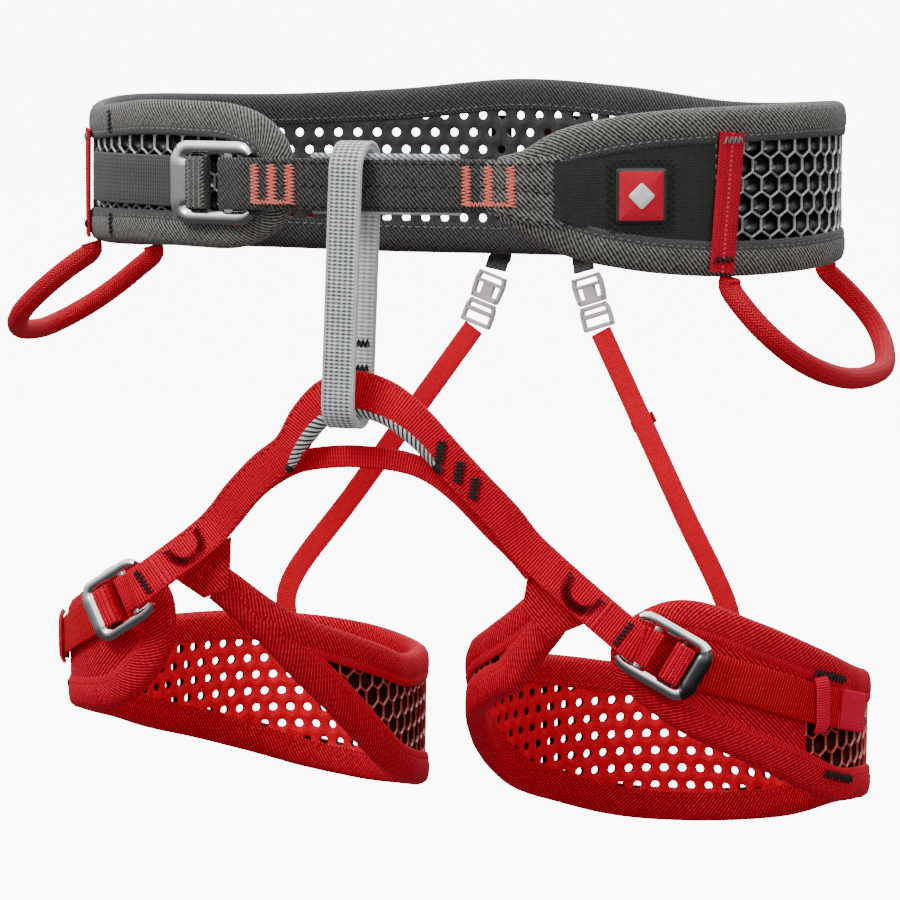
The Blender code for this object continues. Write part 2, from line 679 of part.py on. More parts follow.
def riser(side):
    top, clip = Vector(RISER_TOP[side]) * MM, Vector(RISER_BUCKLE[side]) * MM
    down = (clip - top).normalized()
    back = Vector((0, 1, 0))
    width_way = down.cross(back).normalized()
    sewn = WAIST.place(RISER_U[side], 24 * MM, STRIP[0])
    edge = WAIST.place(RISER_U[side], -37 * MM, STRIP[0])
    stub = [sewn, edge.lerp(sewn, 0.5), edge, top.lerp(clip, 0.35), clip - down * 8 * MM]
    stub[2:4] = [edge, edge.lerp(stub[4], 0.5)]
    ribbon(f"riser_stub_{side}", "charcoal", stub, [width_way] * len(stub), RISER_WIDTH)
    out = width_way.cross(down)
    matrix = Matrix((width_way, -down, out.normalized())).transposed().to_4x4()
    matrix.translation = clip
    body = [(-7, 4.5), (-4, 5.5), (4, 5.5), (7, 4.5), (7, -4), (5.5, -7), (-5.5, -7), (-7, -4)]
    socket = [(x * MM, y * MM) for x, y in reversed(body)]
    plate(f"riser_socket_{side}", "plastic", [socket, riser_slot(2.2, 4.0)], 4 * MM, matrix)
    plug = [(-5.5, -7.6), (5.5, -7.6), (7, -10), (7.2, -19), (-7.2, -19), (-7, -10)]
    tongue = [(x * MM, y * MM) for x, y in reversed(plug)]
    plate(f"riser_plug_{side}", "plastic", [tongue, riser_slot(-16.8, -13.6)], 3.6 * MM, matrix)
    start = matrix @ Vector((0, -20.2 * MM, 0))
    oval = LEGS[side]
    foot_u, foot_z = RISER_FOOT[side][0] * MM, RISER_FOOT[side][1] * MM
    rest = oval.place(foot_u, foot_z + 22 * MM, 9.5 * MM)
    end = oval.place(foot_u, foot_z - 4 * MM, 9.5 * MM)
    path = [start, start.lerp(rest, 0.33), start.lerp(rest, 0.66), rest, end]
    fall = (rest - start).normalized()
    strap_way = fall.cross(back).normalized()
    ribbon(f"riser_strap_{side}", "red", path, [width_way, strap_way, strap_way, strap_way, strap_way], RISER_WIDTH)
    spot = start.lerp(rest, RISER_KEEPER)
    keeper = [spot + fall * k * MM + back * 1.9 * MM for k in (-2.5, 2.5)]
    ribbon(f"riser_keeper_{side}", "dark_red", keeper, [strap_way] * 2, RISER_WIDTH + 2 * MM)


def riser_slot(y_low, y_high):
    return [(x * MM, y * MM) for x, y in ((-4.5, y_low), (4.5, y_low), (4.5, y_high), (-4.5, y_high))]


# --- the harness --------------------------------------------------------------------------------------

clear_scene()
HARNESS = bpy.data.collections.new("climbing_harness")
bpy.context.scene.collection.children.link(HARNESS)
WAIST = Oval(WAIST_HALF)
LEG_NODES = (
    "leg_webbing", "cross_webbing", "arch_sleeve",
    *(f"{piece}_{side}" for side in SIDES for piece in (
        "leg_foam", "leg_mesh", "leg_binding", "leg_tail", "leg_keeper", "leg_tab", "riser_strap", "riser_keeper",
    )),
)
LEGS = {side: Oval(LEG_HALF[side], LEG_CENTRE_X[side], way) for side, way in SIDES.items()}
WAIST_LENGTH = float(np.interp(2 * pi, WAIST.turns, WAIST.arcs))

waist = waist_belt()
waist_webbing()
buckle("waist_buckle", BUCKLE, buckle_matrix(WAIST, WAIST_BUCKLE_U, STRAP_Z, BUCKLE["level"], 0.0, -1))
gear_loops(waist)
haul_loop()
leg_webbing({side: leg_loop(side) for side in SIDES})
belay_loop()
for each_side in SIDES:
    riser(each_side)
turn_about("belay_pivot", BELAY_PIVOT, ["belay_loop"])
turn_about("leg_pivot", LEG_PIVOT, LEG_NODES)
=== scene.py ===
"""Climbing harness: the visual model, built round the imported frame.

Soft pieces are flat patterns wrapped round level ovals: u (or s, on a band) is the distance along the oval
from its front, z the height and d the distance out from its inner face. Lengths are in millimetres until a
mesh is made. The pattern layer holds the distances along and across a piece, which the weaves follow.
"""

from math import cos, pi, radians, sin, sqrt

import bpy
import numpy as np
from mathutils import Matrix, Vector


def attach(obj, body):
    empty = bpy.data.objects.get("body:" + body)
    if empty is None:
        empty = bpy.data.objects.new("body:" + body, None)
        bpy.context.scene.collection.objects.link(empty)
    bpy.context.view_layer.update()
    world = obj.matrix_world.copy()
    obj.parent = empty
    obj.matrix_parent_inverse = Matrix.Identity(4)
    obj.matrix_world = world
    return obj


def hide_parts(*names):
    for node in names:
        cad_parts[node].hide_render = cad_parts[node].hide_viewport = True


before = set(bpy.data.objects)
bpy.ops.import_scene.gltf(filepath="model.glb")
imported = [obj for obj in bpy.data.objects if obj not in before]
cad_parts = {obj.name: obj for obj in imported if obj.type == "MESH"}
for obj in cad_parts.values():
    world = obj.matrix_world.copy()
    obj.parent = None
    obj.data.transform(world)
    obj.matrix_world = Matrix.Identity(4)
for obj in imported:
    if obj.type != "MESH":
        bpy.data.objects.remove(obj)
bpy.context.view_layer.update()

MM = 0.001
UP = np.array((0.0, 0.0, 1.0))
BACK = np.array((0.0, 1.0, 0.0))
SIDES = {"right": -1, "left": 1}

# The ovals that the belt and the leg loops follow: half their width and half their depth.
WAIST_HALF = (155, 108)
LEG_HALF = {"right": (66.5, 90), "left": (76.5, 80.5)}
LEG_CENTRE_X = {"right": 97, "left": 92}
BINDING_WIDTH = 13

# The belt from its nose on the wing, round the back, to its round end: (distance along, height) of its edges.
WAIST_NOSE, WAIST_END, WAIST_ROUND = 53, 802, 38
WAIST_TOP = (
    (53, 11.5), (62, 14), (73, 20.5), (96, 26.8), (125, 30), (151, 31), (199, 32.3), (250, 31.5),
    (325, 30.5), (379, 36.5), (427, 39.5), (482, 35), (527, 33), (620, 33), (669, 29.5), (725, 32.5),
    (802, 31),
)
WAIST_BOTTOM = (
    (53, -12), (64, -18), (78, -24.5), (101, -30), (131, -33.3), (174, -33.3), (210, -32), (300, -35),
    (403, -37.5), (436, -37.3), (482, -36.8), (546, -34), (620, -30), (659, -26.3), (710, -24.3),
    (802, -25),
)

# The front strap, the edging behind it, its tail, the wing's panel and its patch, by distance along the belt.
STRAP_Z, STRAP_WIDTH, STRAP_END_U = 1.2, 20.6, 52.4
SLEEVE_U = (-22, 38)
TAIL_U = (-152, -77)
PANEL_U = (74, 137)
PATCH_U, PATCH_Z = (97.5, 115.5), (-11.5, 6.5)

# A buckle along the strap (x) and across it. cross and slider are where its two inner bars begin and end in
# x, and level is how far the middle of its thickness stands out from the belt's inner face.
BUCKLE = {
    "length": 42, "height": 33, "bar": 8.8, "arm": 5.4, "thick": 2.5, "level": 10.6, "webbing": STRAP_WIDTH,
    "cross": (-12, -7.5), "slider": (3.4, 9.4),
}
BUCKLE_TAIL_X = -19
BUCKLE_BEVEL = 0.42
LEG_SCALE, LEG_WEBBING, WAIST_BUCKLE_U = 0.8, 16, -64.5

# The leg pads, from their round ends (tip) to their narrow starts (tab): (distance along, height) of edges.
LEG_TIP = {"right": -5, "left": 2}
LEG_TAB = {"right": 475, "left": 478}
LEG_ROUND = 34
LEG_TOP = {
    "right": (
        (-30, -154), (-4, -151.5), (8, -152.8), (22, -158.5), (43, -171), (72, -181), (100, -190),
        (130, -197), (164, -201.3), (206, -203.4), (250, -207), (300, -210), (340, -207.5), (374, -204),
        (393, -197), (419, -187.4), (439, -179.3), (452, -171), (464, -161), (478, -150),
    ),
    "left": (
        (2, -165), (13, -162.8), (24, -161.5), (35, -162.9), (58, -172), (88, -185.1), (115, -196),
        (150, -204), (200, -212), (250, -216), (291, -215.4), (310, -211.9), (339, -206.6), (370, -202),
        (398, -196), (413, -188.2), (430, -181), (445, -173), (463, -161), (478, -156),
    ),
}
LEG_BOTTOM = {
    "right": (
        (-30, -197), (-15, -201), (-2, -207.5), (18, -215.8), (45, -221), (80, -227), (110, -235),
        (130, -240.7), (154, -249.3), (185, -259.1), (210, -267.6), (234, -275.3), (258, -278.8),
        (300, -275), (340, -266), (371, -258), (384, -252.5), (401, -240.3), (424, -219.6), (443, -201.5),
        (455, -188), (464, -179), (478, -166),
    ),
    "left": (
        (2, -203), (13, -206), (35, -216.8), (67, -233.2), (94, -246.5), (125, -252), (155, -258),
        (183, -266.1), (217, -278.8), (256, -284.9), (291, -282.5), (321, -273.1), (347, -262.6),
        (366, -250), (384, -237), (400, -225), (422, -215), (437, -208), (452, -201), (463, -188.9),
        (471, -180), (478, -171),
    ),
}

# What is sewn to the leg pads: long bartacks as (distance along, 0 lower or 1 upper edge), the cloth over the
# round end, the buckles, the tails' ways, and each keeper's place, width and height.
LONG_TACKS = {"right": ((92, 0),), "left": ((98, 0), (92, 1))}
LONG_TACK_SLOPE = -0.3
LEG_COVER = {"right": 94, "left": 78}
LEG_BUCKLE_AT = {"right": (14, -171), "left": (22, -182.5)}
LEG_SLOPE = radians(-30)
LEG_TAIL_D = 9.1
LEG_TAIL_PATH = {
    "right": ((23.5, -176.5), (34, -182), (50, -189), (62, -193), (76, -197), (90, -200.5)),
    "left": ((32, -187.5), (42.5, -191), (60, -197.5), (77, -204), (95, -209.5), (113, -214.5)),
}
LEG_KEEPER = {"right": (66, 7.6, 22), "left": (84, 7.6, 22)}

# Corners of each folded tab in its own upright plane: the edge under the webbing, then the edge on the pad.
TAB_Y = {"right": -93.2, "left": -91.0}
TAB_CORNERS = {
    "right": (((-92, -161), (-66, -143)), ((-78, -169), (-67, -164.5))),
    "left": (((61, -152), (86.5, -170)), ((58.5, -166), (70, -177.5))),
}

# Gear loops: where both ends stand along the belt, how far the loop reaches out and down, and its radius.
GEAR_LOOPS = {
    "front_right": (-162, -238, 46, 38, 4.4), "front_left": (142, 262, 35, 43, 4.4),
    "rear_right": (-266, -357, 22, 14, 2.6), "rear_left": (284, 372, 22, 14, 2.6),
}
# Their shape: the share of the way from end to end, and the share of the reach.
GEAR_SHAPE = (
    (0.0, 0.0), (-0.02, 0.2), (0.0, 0.45), (0.08, 0.7), (0.22, 0.88), (0.4, 0.98), (0.6, 1.0),
    (0.78, 0.96), (0.92, 0.82), (1.02, 0.62), (1.05, 0.4), (1.03, 0.18), (1.0, 0.0),
)
GEAR_STRIP_WIDTH, REAR_GEAR_Z, STRIP_D = 11, -8, 8.3
STRIP_LEAN = 4

# The belay loop: its width, its ends' heights, its front and back, and its middle at the top and bottom.
BELAY_WIDTH = 13.5
BELAY_TOP, BELAY_BOTTOM = 16.6, -93.4
BELAY_Y, BELAY_X = (-117.7, -98.3), (-4.7, -9)

# The leg webbing's arch and the cross strap under it: each point, and the way the webbing faces there.
ARCH = (
    ((-74, -96.5, -141), (-0.15, -1, 0)), ((-60, -99.5, -126), (-0.1, -1, 0)),
    ((-47, -103, -114), (0, -1, 0)), ((-35, -106, -105), (0, -1, 0.1)),
    ((-26.5, -108, -92), (0, -1, 0.15)), ((-17, -108.6, -82.6), (0, -1, 0.2)),
    ((-5, -108.8, -79.5), (0, -1, 0.25)), ((8, -108.6, -83), (0, -1, 0.2)),
    ((19.5, -108, -91.5), (0, -1, 0.15)), ((30, -106, -103), (0, -1, 0.1)),
    ((41, -103.5, -115), (0, -1, 0.05)), ((54, -100, -129), (0.05, -1, 0)),
    ((66, -96.5, -144), (0.12, -1, 0)),
)
ARCH_WIDTH = 15
SLEEVE_SPAN = slice(3, 10)
CROSS = (
    ((-71, -93.2, -141.5), (-0.1, -1, 0)), ((-63, -95, -133), (-0.1, -1, 0)),
    ((-54, -98, -123.5), (0, -1, 0)), ((-44, -100.6, -116), (0, -1, 0)), ((-32, -102, -110), (0, -1, 0)),
    ((-16, -103, -107.2), (0, -1, 0)), ((-3, -103.2, -106.8), (0, -1, 0)), ((12, -103, -108), (0, -1, 0)),
    ((24, -102, -112), (0, -1, 0)), ((36, -100, -121), (0, -1, 0)), ((48, -96.6, -134), (0, -1, 0)),
    ((57, -93.2, -143.5), (0.05, -1, 0)), ((64, -92.3, -151.5), (0.08, -1, 0)),
)
CROSS_WIDTH = 9

# Rear straps: where each leaves the belt, its clip, its foot on the leg pad as (distance along, height), its
# keeper's share of the way down, and where its stub is sewn along the belt.
RISER_TOP = {"right": (-21, 112.5, -38), "left": (16, 112.5, -38)}
RISER_BUCKLE = {"right": (-26.5, 111.5, -53), "left": (20.8, 111.5, -53)}
RISER_FOOT = {"right": (229, -213), "left": (246, -214)}
RISER_WIDTH, RISER_KEEPER = 10, 0.33
RISER_U = {"right": -395, "left": 401}


# --- numbers along curves --------------------------------------------------------------------------

def unit(v):
    v = np.asarray(v, float)
    return v / np.maximum(np.linalg.norm(v, axis=-1, keepdims=True), 1e-12)


def through(stations, at):
    """A smooth curve through (place, value) stations."""
    where = np.array([s[0] for s in stations], float)
    value = np.array([s[1] for s in stations], float)
    slope = np.gradient(value, where)
    at = np.asarray(at, float)
    i = np.clip(np.searchsorted(where, at) - 1, 0, len(where) - 2)
    h = where[i + 1] - where[i]
    t = np.clip((at - where[i]) / h, 0, 1)
    return (
        (2 * t**3 - 3 * t**2 + 1) * value[i] + (t**3 - 2 * t**2 + t) * h * slope[i]
        + (3 * t**2 - 2 * t**3) * value[i + 1] + (t**3 - t**2) * h * slope[i + 1]
    )


def smooth_path(points, per_span=6):
    """Points on a Catmull-Rom curve through the given points."""
    p = np.asarray(points, float)
    p = np.vstack([2 * p[0] - p[1], p, 2 * p[-1] - p[-2]])
    t = np.arange(per_span)[:, None] / per_span
    spans = []
    for a, b, c, d in zip(p, p[1:], p[2:], p[3:]):
        square, cube = 2 * a - 5 * b + 4 * c - d, 3 * b - a - 3 * c + d
        spans.append(0.5 * (2 * b + (c - a) * t + square * t**2 + cube * t**3))
    return np.vstack([*spans, p[-2]])


def lengths(path):
    """How far along the path each of its points is."""
    return np.concatenate([[0], np.cumsum(np.linalg.norm(np.diff(path, axis=0), axis=1))])


def resampled(path, step):
    """The path with even spacing, and how far along each point is."""
    path = np.asarray(path, float)
    far = lengths(path)
    count = max(2, int(round(far[-1] / step)) + 1)
    at = np.linspace(0, far[-1], count)
    return np.stack([np.interp(at, far, path[:, k]) for k in range(path.shape[1])], -1), at


def spaced(start, end, step):
    """Even places from start to end, about a step apart."""
    return np.linspace(start, end, max(2, int(round(abs(end - start) / step)) + 1))


class Oval:
    """A level oval, measured along its edge from its front point, in millimetres."""

    def __init__(self, half, centre_x=0.0, side=1):
        self.half, self.centre_x, self.side = half, centre_x, side
        self.turns = np.linspace(-pi, 3 * pi, 2401)
        x, y = half[0] * np.sin(self.turns), -half[1] * np.cos(self.turns)
        self.arcs = np.concatenate([[0], np.cumsum(np.hypot(np.diff(x), np.diff(y)))])
        self.arcs -= np.interp(0, self.turns, self.arcs)

    def normal(self, u):
        """The level direction out of the oval."""
        turn = np.interp(u, self.arcs, self.turns)
        n = np.stack([self.side * np.sin(turn) / self.half[0], -np.cos(turn) / self.half[1], 0 * turn], -1)
        return unit(n)

    def along(self, u):
        """The level direction in which u grows."""
        out = self.normal(u)
        return np.stack([-out[..., 1] * self.side, out[..., 0] * self.side, 0 * out[..., 0]], -1)

    def place(self, u, z, d):
        """The point at a distance along the oval, a height and a distance out."""
        u, z, d = np.broadcast_arrays(np.asarray(u, float), np.asarray(z, float), np.asarray(d, float))
        turn = np.interp(u, self.arcs, self.turns)
        x = self.side * (self.centre_x + self.half[0] * np.sin(turn))
        spot = np.stack([x, -self.half[1] * np.cos(turn), z], -1)
        return spot + self.normal(u) * d[..., None]


WAIST = Oval(WAIST_HALF)
WAIST_LENGTH = float(np.interp(2 * pi, WAIST.turns, WAIST.arcs))
LEGS = {side: Oval(LEG_HALF[side], LEG_CENTRE_X[side], way) for side, way in SIDES.items()}


# --- meshes ----------------------------------------------------------------------------------------

class Piece:
    """One visible piece: points in millimetres, faces, pattern places and materials."""

    def __init__(self, name):
        self.name, self.count = name, 0
        self.points, self.faces, self.pattern, self.which, self.materials = [], [], [], [], []

    def slot_of(self, material):
        if material not in self.materials:
            self.materials.append(material)
        return self.materials.index(material)

    def put_points(self, points):
        """Adds points and gives the first one's number."""
        self.points.append(np.asarray(points, float).reshape(-1, 3))
        self.count += len(self.points[-1])
        return self.count - len(self.points[-1])

    def put_faces(self, first, faces, pattern, material):
        """Faces that index the points from the first one on, with a pattern place for each face corner."""
        faces = np.asarray(faces, int)
        self.faces.append(faces + first)
        self.pattern.append(np.asarray(pattern, float).reshape(*faces.shape, 2))
        self.which.append(np.full(len(faces), self.slot_of(material)))

    def put(self, points, faces, pattern, material):
        self.put_faces(self.put_points(points), faces, pattern, material)

    def grid(self, points, pattern, material, wrap=False, closed=False, flip=False):
        """Rows and columns of points. wrap joins the last column to the first, closed the last row."""
        n, m = points.shape[:2]
        rows, columns = np.arange(n if closed else n - 1), np.arange(m if wrap else m - 1)
        i, j = np.meshgrid(rows, columns, indexing="ij")
        corners = [(i, j), (i + 1, j), (i + 1, j + 1), (i, j + 1)]
        if flip:
            corners.reverse()
        faces = np.stack([(a % n) * m + b % m for a, b in corners], -1).reshape(-1, 4)
        places = np.stack([pattern[a, b] for a, b in corners], -2).reshape(-1, 4, 2)
        self.put(points, faces, places, material)

    def cap(self, points, material, flip=False):
        """One flat face over a ring of points."""
        points = np.asarray(points, float)
        order = np.arange(len(points))[None, ::-1 if flip else 1]
        flat = points[order[0]][:, :2]
        self.put(points, order, flat[None], material)

    def finish(self, body, slot, replaces, padded=None, angle=45):
        """Makes the object, with sharp edges where faces turn by more than the angle."""
        mesh = bpy.data.meshes.new(self.name)
        faces = [face for block in self.faces for face in block.tolist()]
        mesh.from_pydata(np.vstack(self.points) * MM, [], faces)
        layer = mesh.uv_layers.new(name="pattern")
        layer.data.foreach_set("uv", np.concatenate([p.reshape(-1) for p in self.pattern]))
        for material in self.materials:
            mesh.materials.append(material)
        mesh.polygons.foreach_set("material_index", np.concatenate(self.which))
        mesh.shade_smooth()
        mesh.set_sharp_from_angle(angle=radians(angle))
        obj = bpy.data.objects.new(self.name, mesh)
        bpy.context.scene.collection.objects.link(obj)
        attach(obj, body)
        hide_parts(*replaces)


def sweep(piece, path, side, up, profile, material, closed=False):
    """A profile (x to the side, y up, anticlockwise seen along the path) carried along a path."""
    profile = np.broadcast_to(profile, (len(path), *profile.shape))
    x, y = profile[..., 0:1], profile[..., 1:2]
    points = path[:, None] + side[:, None] * x + up[:, None] * y
    far = row_distances(path, closed)
    if closed:
        profile = np.concatenate([profile, profile[:1]])
    across = np.concatenate([profile[..., 0], profile[:, :1, 0]], 1)
    pattern = np.stack([np.broadcast_to(far[:, None], across.shape), across], -1)
    skin(piece, points, pattern, material, closed)


def row_distances(path, closed):
    """How far along the path each row is. A closed path's first row counts again at its end."""
    far = lengths(path)
    return np.append(far, far[-1] + np.linalg.norm(path[0] - path[-1])) if closed else far


def skin(piece, points, pattern, material, closed):
    """Rings of points joined into a skin, with flat ends unless the rings close on themselves."""
    piece.grid(points, pattern, material, wrap=True, closed=closed, flip=True)
    if not closed:
        piece.cap(points[0], material)
        piece.cap(points[-1], material, flip=True)


def tape_profile(width, thick, crown):
    """A flat tape's cross-section with rounded edges and a slightly raised middle."""
    half, t = width / 2, thick / 2
    turns = np.radians(np.linspace(-90, 90, 5))
    right = np.stack([half - t + t * np.cos(turns), t * np.sin(turns)], -1)
    left = -right
    top = np.linspace(half - t, t - half, 5)[1:-1]
    over = np.stack([top, np.full_like(top, t) + crown * (1 - (top / half) ** 2)], -1)
    return np.vstack([right, over, left, -over])


def ahead_along(path, closed=False):
    """The unit direction of travel at each point of a path."""
    return unit(np.roll(path, -1, 0) - np.roll(path, 1, 0) if closed else np.gradient(path, axis=0))


def frames(path, across, closed=False):
    """Sideways and outward directions along a path, square to it."""
    ahead = ahead_along(path, closed)
    across = np.broadcast_to(np.asarray(across, float), path.shape)
    side = unit(across - ahead * (across * ahead).sum(-1, keepdims=True))
    return side, np.cross(side, ahead)


def webbing(piece, path, across, width, thick, material, closed=False, crown=0.0):
    """A flat tape along a path, with across roughly sideways. Gives its sideways and outward directions."""
    path = np.asarray(path, float)
    side, out = frames(path, across, closed)
    sweep(piece, path, side, out, tape_profile(width, thick, crown), material, closed)
    return side, out


def tube(piece, path, radius, material, sides=10, closed=False, steady=UP):
    """A round cord. The pattern goes round it in millimetres."""
    path = np.asarray(path, float)
    ahead = ahead_along(path, closed)
    side = np.zeros_like(path)
    last = np.asarray(steady, float)
    for k, way in enumerate(ahead):
        last = unit(last - way * (last @ way))
        side[k] = last
    up = np.cross(side, ahead)
    radius = np.broadcast_to(np.asarray(radius, float), (len(path),))
    turns = np.linspace(0, 2 * pi, sides, endpoint=False)
    ring = side[:, None] * np.cos(turns)[None, :, None] + up[:, None] * np.sin(turns)[None, :, None]
    points = path[:, None] + ring * radius[:, None, None]
    round_it = np.linspace(0, 2 * pi, sides + 1) * float(radius.mean())
    pattern = np.stack(np.meshgrid(row_distances(path, closed), round_it, indexing="ij"), -1)
    skin(piece, points, pattern, material, closed)


# One stitch: four rings along it, how thick each is and how far it stands out of the cloth.
STITCH_RINGS = np.array((0, 0.2, 0.8, 1.0))
STITCH_SIZES = np.array((0.35, 1.0, 1.0, 0.35))
STITCH_RISES = np.array((-0.35, 0.1, 0.1, -0.35))
STITCH_SIDES = 5


def sew(piece, path, out, material, length=2.4, gap=1.3, radius=0.32):
    """Dashes of thread along a path, sinking into the cloth at both ends."""
    path = np.asarray(path, float)
    fine, far = resampled(path, 0.6)
    out, path_far = np.broadcast_to(out, path.shape), lengths(path)
    outs = np.stack([np.interp(far, path_far, out[:, i]) for i in range(3)], -1)
    count = int(far[-1] // (length + gap))
    if count < 1:
        return
    start = (np.arange(count) + 0.5) * far[-1] / count - length / 2
    at = start[:, None] + STITCH_RINGS * length
    spot = np.stack([np.interp(at, far, fine[:, i]) for i in range(3)], -1)
    up = unit(np.stack([np.interp(at, far, outs[:, i]) for i in range(3)], -1))
    ahead = unit(spot[:, -1:] - spot[:, :1])
    side = np.cross(ahead, up)
    ring = np.arange(STITCH_SIDES) * 2 * pi / STITCH_SIDES
    circle = side[:, :, None] * np.cos(ring)[:, None] + up[:, :, None] * np.sin(ring)[:, None]
    risen = spot + up * STITCH_RISES[:, None]
    points = risen[:, :, None] + circle * (STITCH_SIZES * radius)[:, None, None]
    a, b = np.meshgrid(np.arange(3) * STITCH_SIDES, np.arange(STITCH_SIDES), indexing="ij")
    after = (b + 1) % STITCH_SIDES
    one = np.stack([a + b, a + after, a + after + STITCH_SIDES, a + b + STITCH_SIDES], -1).reshape(-1, 4)
    faces = one[None] + (np.arange(count) * 4 * STITCH_SIDES)[:, None, None]
    pattern = np.tile([[0, 0], [0, 0.4], [0.8, 0.4], [0.8, 0]], (count * len(one), 1, 1))
    piece.put(points, faces.reshape(-1, 4), pattern, material)


def bartack(piece, at, length, width, material, pitch=1.7, radius=0.38):
    """A dense zigzag of thread. at(x, y) gives (point, outward) for x along the bar and y across it."""
    count = 2 * int(length / pitch) + 1
    x = np.linspace(-length / 2, length / 2, count)
    y = np.where(np.arange(count) % 2, 0.5, -0.5) * width
    corner = np.stack([x, y], -1)
    fine = [a + (b - a) * t for a, b in zip(corner, corner[1:]) for t in (0.0, 0.2, 0.8)]
    places = [at(*spot) for spot in fine]
    rises = (-0.1, 0.35, 0.35)
    spots = [spot + out * rises[k % 3] for k, (spot, out) in enumerate(places)]
    tube(piece, spots, radius, material, sides=5, steady=places[0][1])


def flat_at(centre, along, out):
    """A flat place for bartack, with x along and y across."""
    centre, along, out = np.asarray(centre, float), unit(along), unit(out)
    along = unit(along - out * (along @ out))
    across = np.cross(out, along)
    return lambda x, y: (centre + along * x + across * y, out)


def level_at(oval, level, u, z, turn):
    """A place on an oval for bartack, with x along it, turned by an angle. level(u) is the distance out."""
    def at(x, y):
        pu, pz = u + x * cos(turn) - y * sin(turn), z + x * sin(turn) + y * cos(turn)
        return oval.place(pu, pz, level(pu)), oval.normal(pu)
    return at


def oval_at(oval, u, z, d, turn=0.0):
    return level_at(oval, lambda _: d, u, z, turn)


def upright_tacks(piece, band, places, inset, d, width):
    """Short upright bartacks across the band's binding, at its lower and upper edge."""
    for s in places:
        low, high = band.edges(float(s))
        for z in (low + inset, high - inset):
            bartack(piece, oval_at(band.oval, s, z, d, pi / 2), 9, width, THREAD_DARK)


# --- materials -------------------------------------------------------------------------------------

class Look:
    """Short calls that build one node material."""

    def __init__(self, name):
        self.material = bpy.data.materials.new(name)
        self.material.use_nodes = True
        self.nodes, self.links = self.material.node_tree.nodes, self.material.node_tree.links
        self.shader = self.nodes["Principled BSDF"]

    def node(self, kind, **settings):
        made = self.nodes.new(kind)
        for key, value in settings.items():
            setattr(made, key, value)
        return made

    def join(self, value, socket):
        if hasattr(value, "is_output"):
            self.links.new(value, socket)
        else:
            socket.default_value = value

    def math(self, operation, a, b=0.0, c=0.0):
        made = self.node("ShaderNodeMath", operation=operation)
        for socket, value in zip(made.inputs, (a, b, c)):
            self.join(value, socket)
        return made.outputs[0]

    def pattern(self):
        """The pattern's millimetres along and across."""
        place = self.node("ShaderNodeUVMap", uv_map="pattern")
        split = self.node("ShaderNodeSeparateXYZ")
        self.links.new(place.outputs[0], split.inputs[0])
        return split.outputs[0], split.outputs[1]

    def aslant(self, u, v, degrees):
        """The distance in the direction that lies at an angle to u."""
        turn = radians(degrees)
        return self.math("MULTIPLY_ADD", u, cos(turn), self.math("MULTIPLY", v, sin(turn)))

    def wave(self, value, pitch):
        """0 to 1 and back once in each pitch."""
        turned = self.math("MULTIPLY", value, 2 * pi / pitch)
        return self.math("MULTIPLY_ADD", self.math("SINE", turned), 0.5, 0.5)

    def wandering(self, value, scale, amount):
        """The value moved about a little, so that yarns don't run dead straight."""
        return self.math("ADD", value, self.math("MULTIPLY", self.noise(scale), amount))

    def shade_and_wear(self, height, scale, amount, detail=4.0):
        """The height with soft light and dark patches, for a ramp to colour. Where the height is a weave's or
        a twist's, the ramp also paints shade into its grooves and highlight onto its ridges.
        """
        patch = self.math("SUBTRACT", self.noise(scale, detail), 0.5)
        return self.math("MULTIPLY_ADD", patch, amount, height)

    def noise(self, scale, detail=3.0):
        place = self.node("ShaderNodeTexCoord")
        made = self.node("ShaderNodeTexNoise")
        self.links.new(place.outputs["Object"], made.inputs["Vector"])
        made.inputs["Scale"].default_value = scale
        made.inputs["Detail"].default_value = detail
        made.inputs["Roughness"].default_value = 0.55
        return made.outputs["Fac"]

    def ramp(self, value, stops):
        made = self.node("ShaderNodeValToRGB")
        self.join(value, made.inputs[0])
        elements = made.color_ramp.elements
        while len(elements) < len(stops):
            elements.new(0.5)
        for element, (place, colour) in zip(elements, stops):
            element.position = place
            element.color = (*colour, 1)
        return made.outputs[0]

    def mix(self, share, a, b):
        made = self.node("ShaderNodeMix", data_type="RGBA")
        self.join(share, made.inputs[0])
        for socket, value in ((made.inputs[6], a), (made.inputs[7], b)):
            self.join(value if hasattr(value, "is_output") else (*value, 1), socket)
        return made.outputs[2]

    def finish(
        self, colour, height=None, depth=0.15, rough=0.7, metallic=0.0, sheen=0.0, coat=0.0, specular=0.5
    ):
        """Colour, a bump of the given depth from the height, and the shader's constant settings."""
        shader = self.shader
        self.links.new(colour, shader.inputs["Base Color"])
        self.join(rough, shader.inputs["Roughness"])
        shader.inputs["Metallic"].default_value = metallic
        shader.inputs["Sheen Weight"].default_value = sheen
        shader.inputs["Sheen Roughness"].default_value = 0.5
        shader.inputs["Coat Weight"].default_value = coat
        shader.inputs["Coat Roughness"].default_value = 0.25
        shader.inputs["Specular IOR Level"].default_value = specular
        if height is not None:
            bump = self.node("ShaderNodeBump")
            bump.inputs["Strength"].default_value = 1.0
            bump.inputs["Distance"].default_value = depth * MM
            self.links.new(height, bump.inputs["Height"])
            self.links.new(bump.outputs[0], shader.inputs["Normal"])
        return self.material


def twill(name, dark, light, pitch=1.15, angle=42, depth=0.22, sheen=0.08, specular=0.3):
    """Diagonal ribs of thick yarn, each crossed by fine fibres."""
    look = Look(name)
    u, v = look.pattern()
    rib_at = look.wandering(look.aslant(u, v, angle), 900, 1.1)
    rib = look.math("POWER", look.wave(rib_at, pitch), 0.8)
    yarn = look.wave(look.aslant(u, v, angle + 90), pitch * 1.9)
    height = look.math("MULTIPLY_ADD", yarn, 0.17, look.math("MULTIPLY", rib, 0.83))
    # The ramp paints shade into the grooves and highlight onto the ribs, over the yarn's own colour.
    colour = look.ramp(look.shade_and_wear(height, 90, 0.25), ((0.28, dark), (0.90, light)))
    return look.finish(colour, height, depth, sheen=sheen, specular=specular)


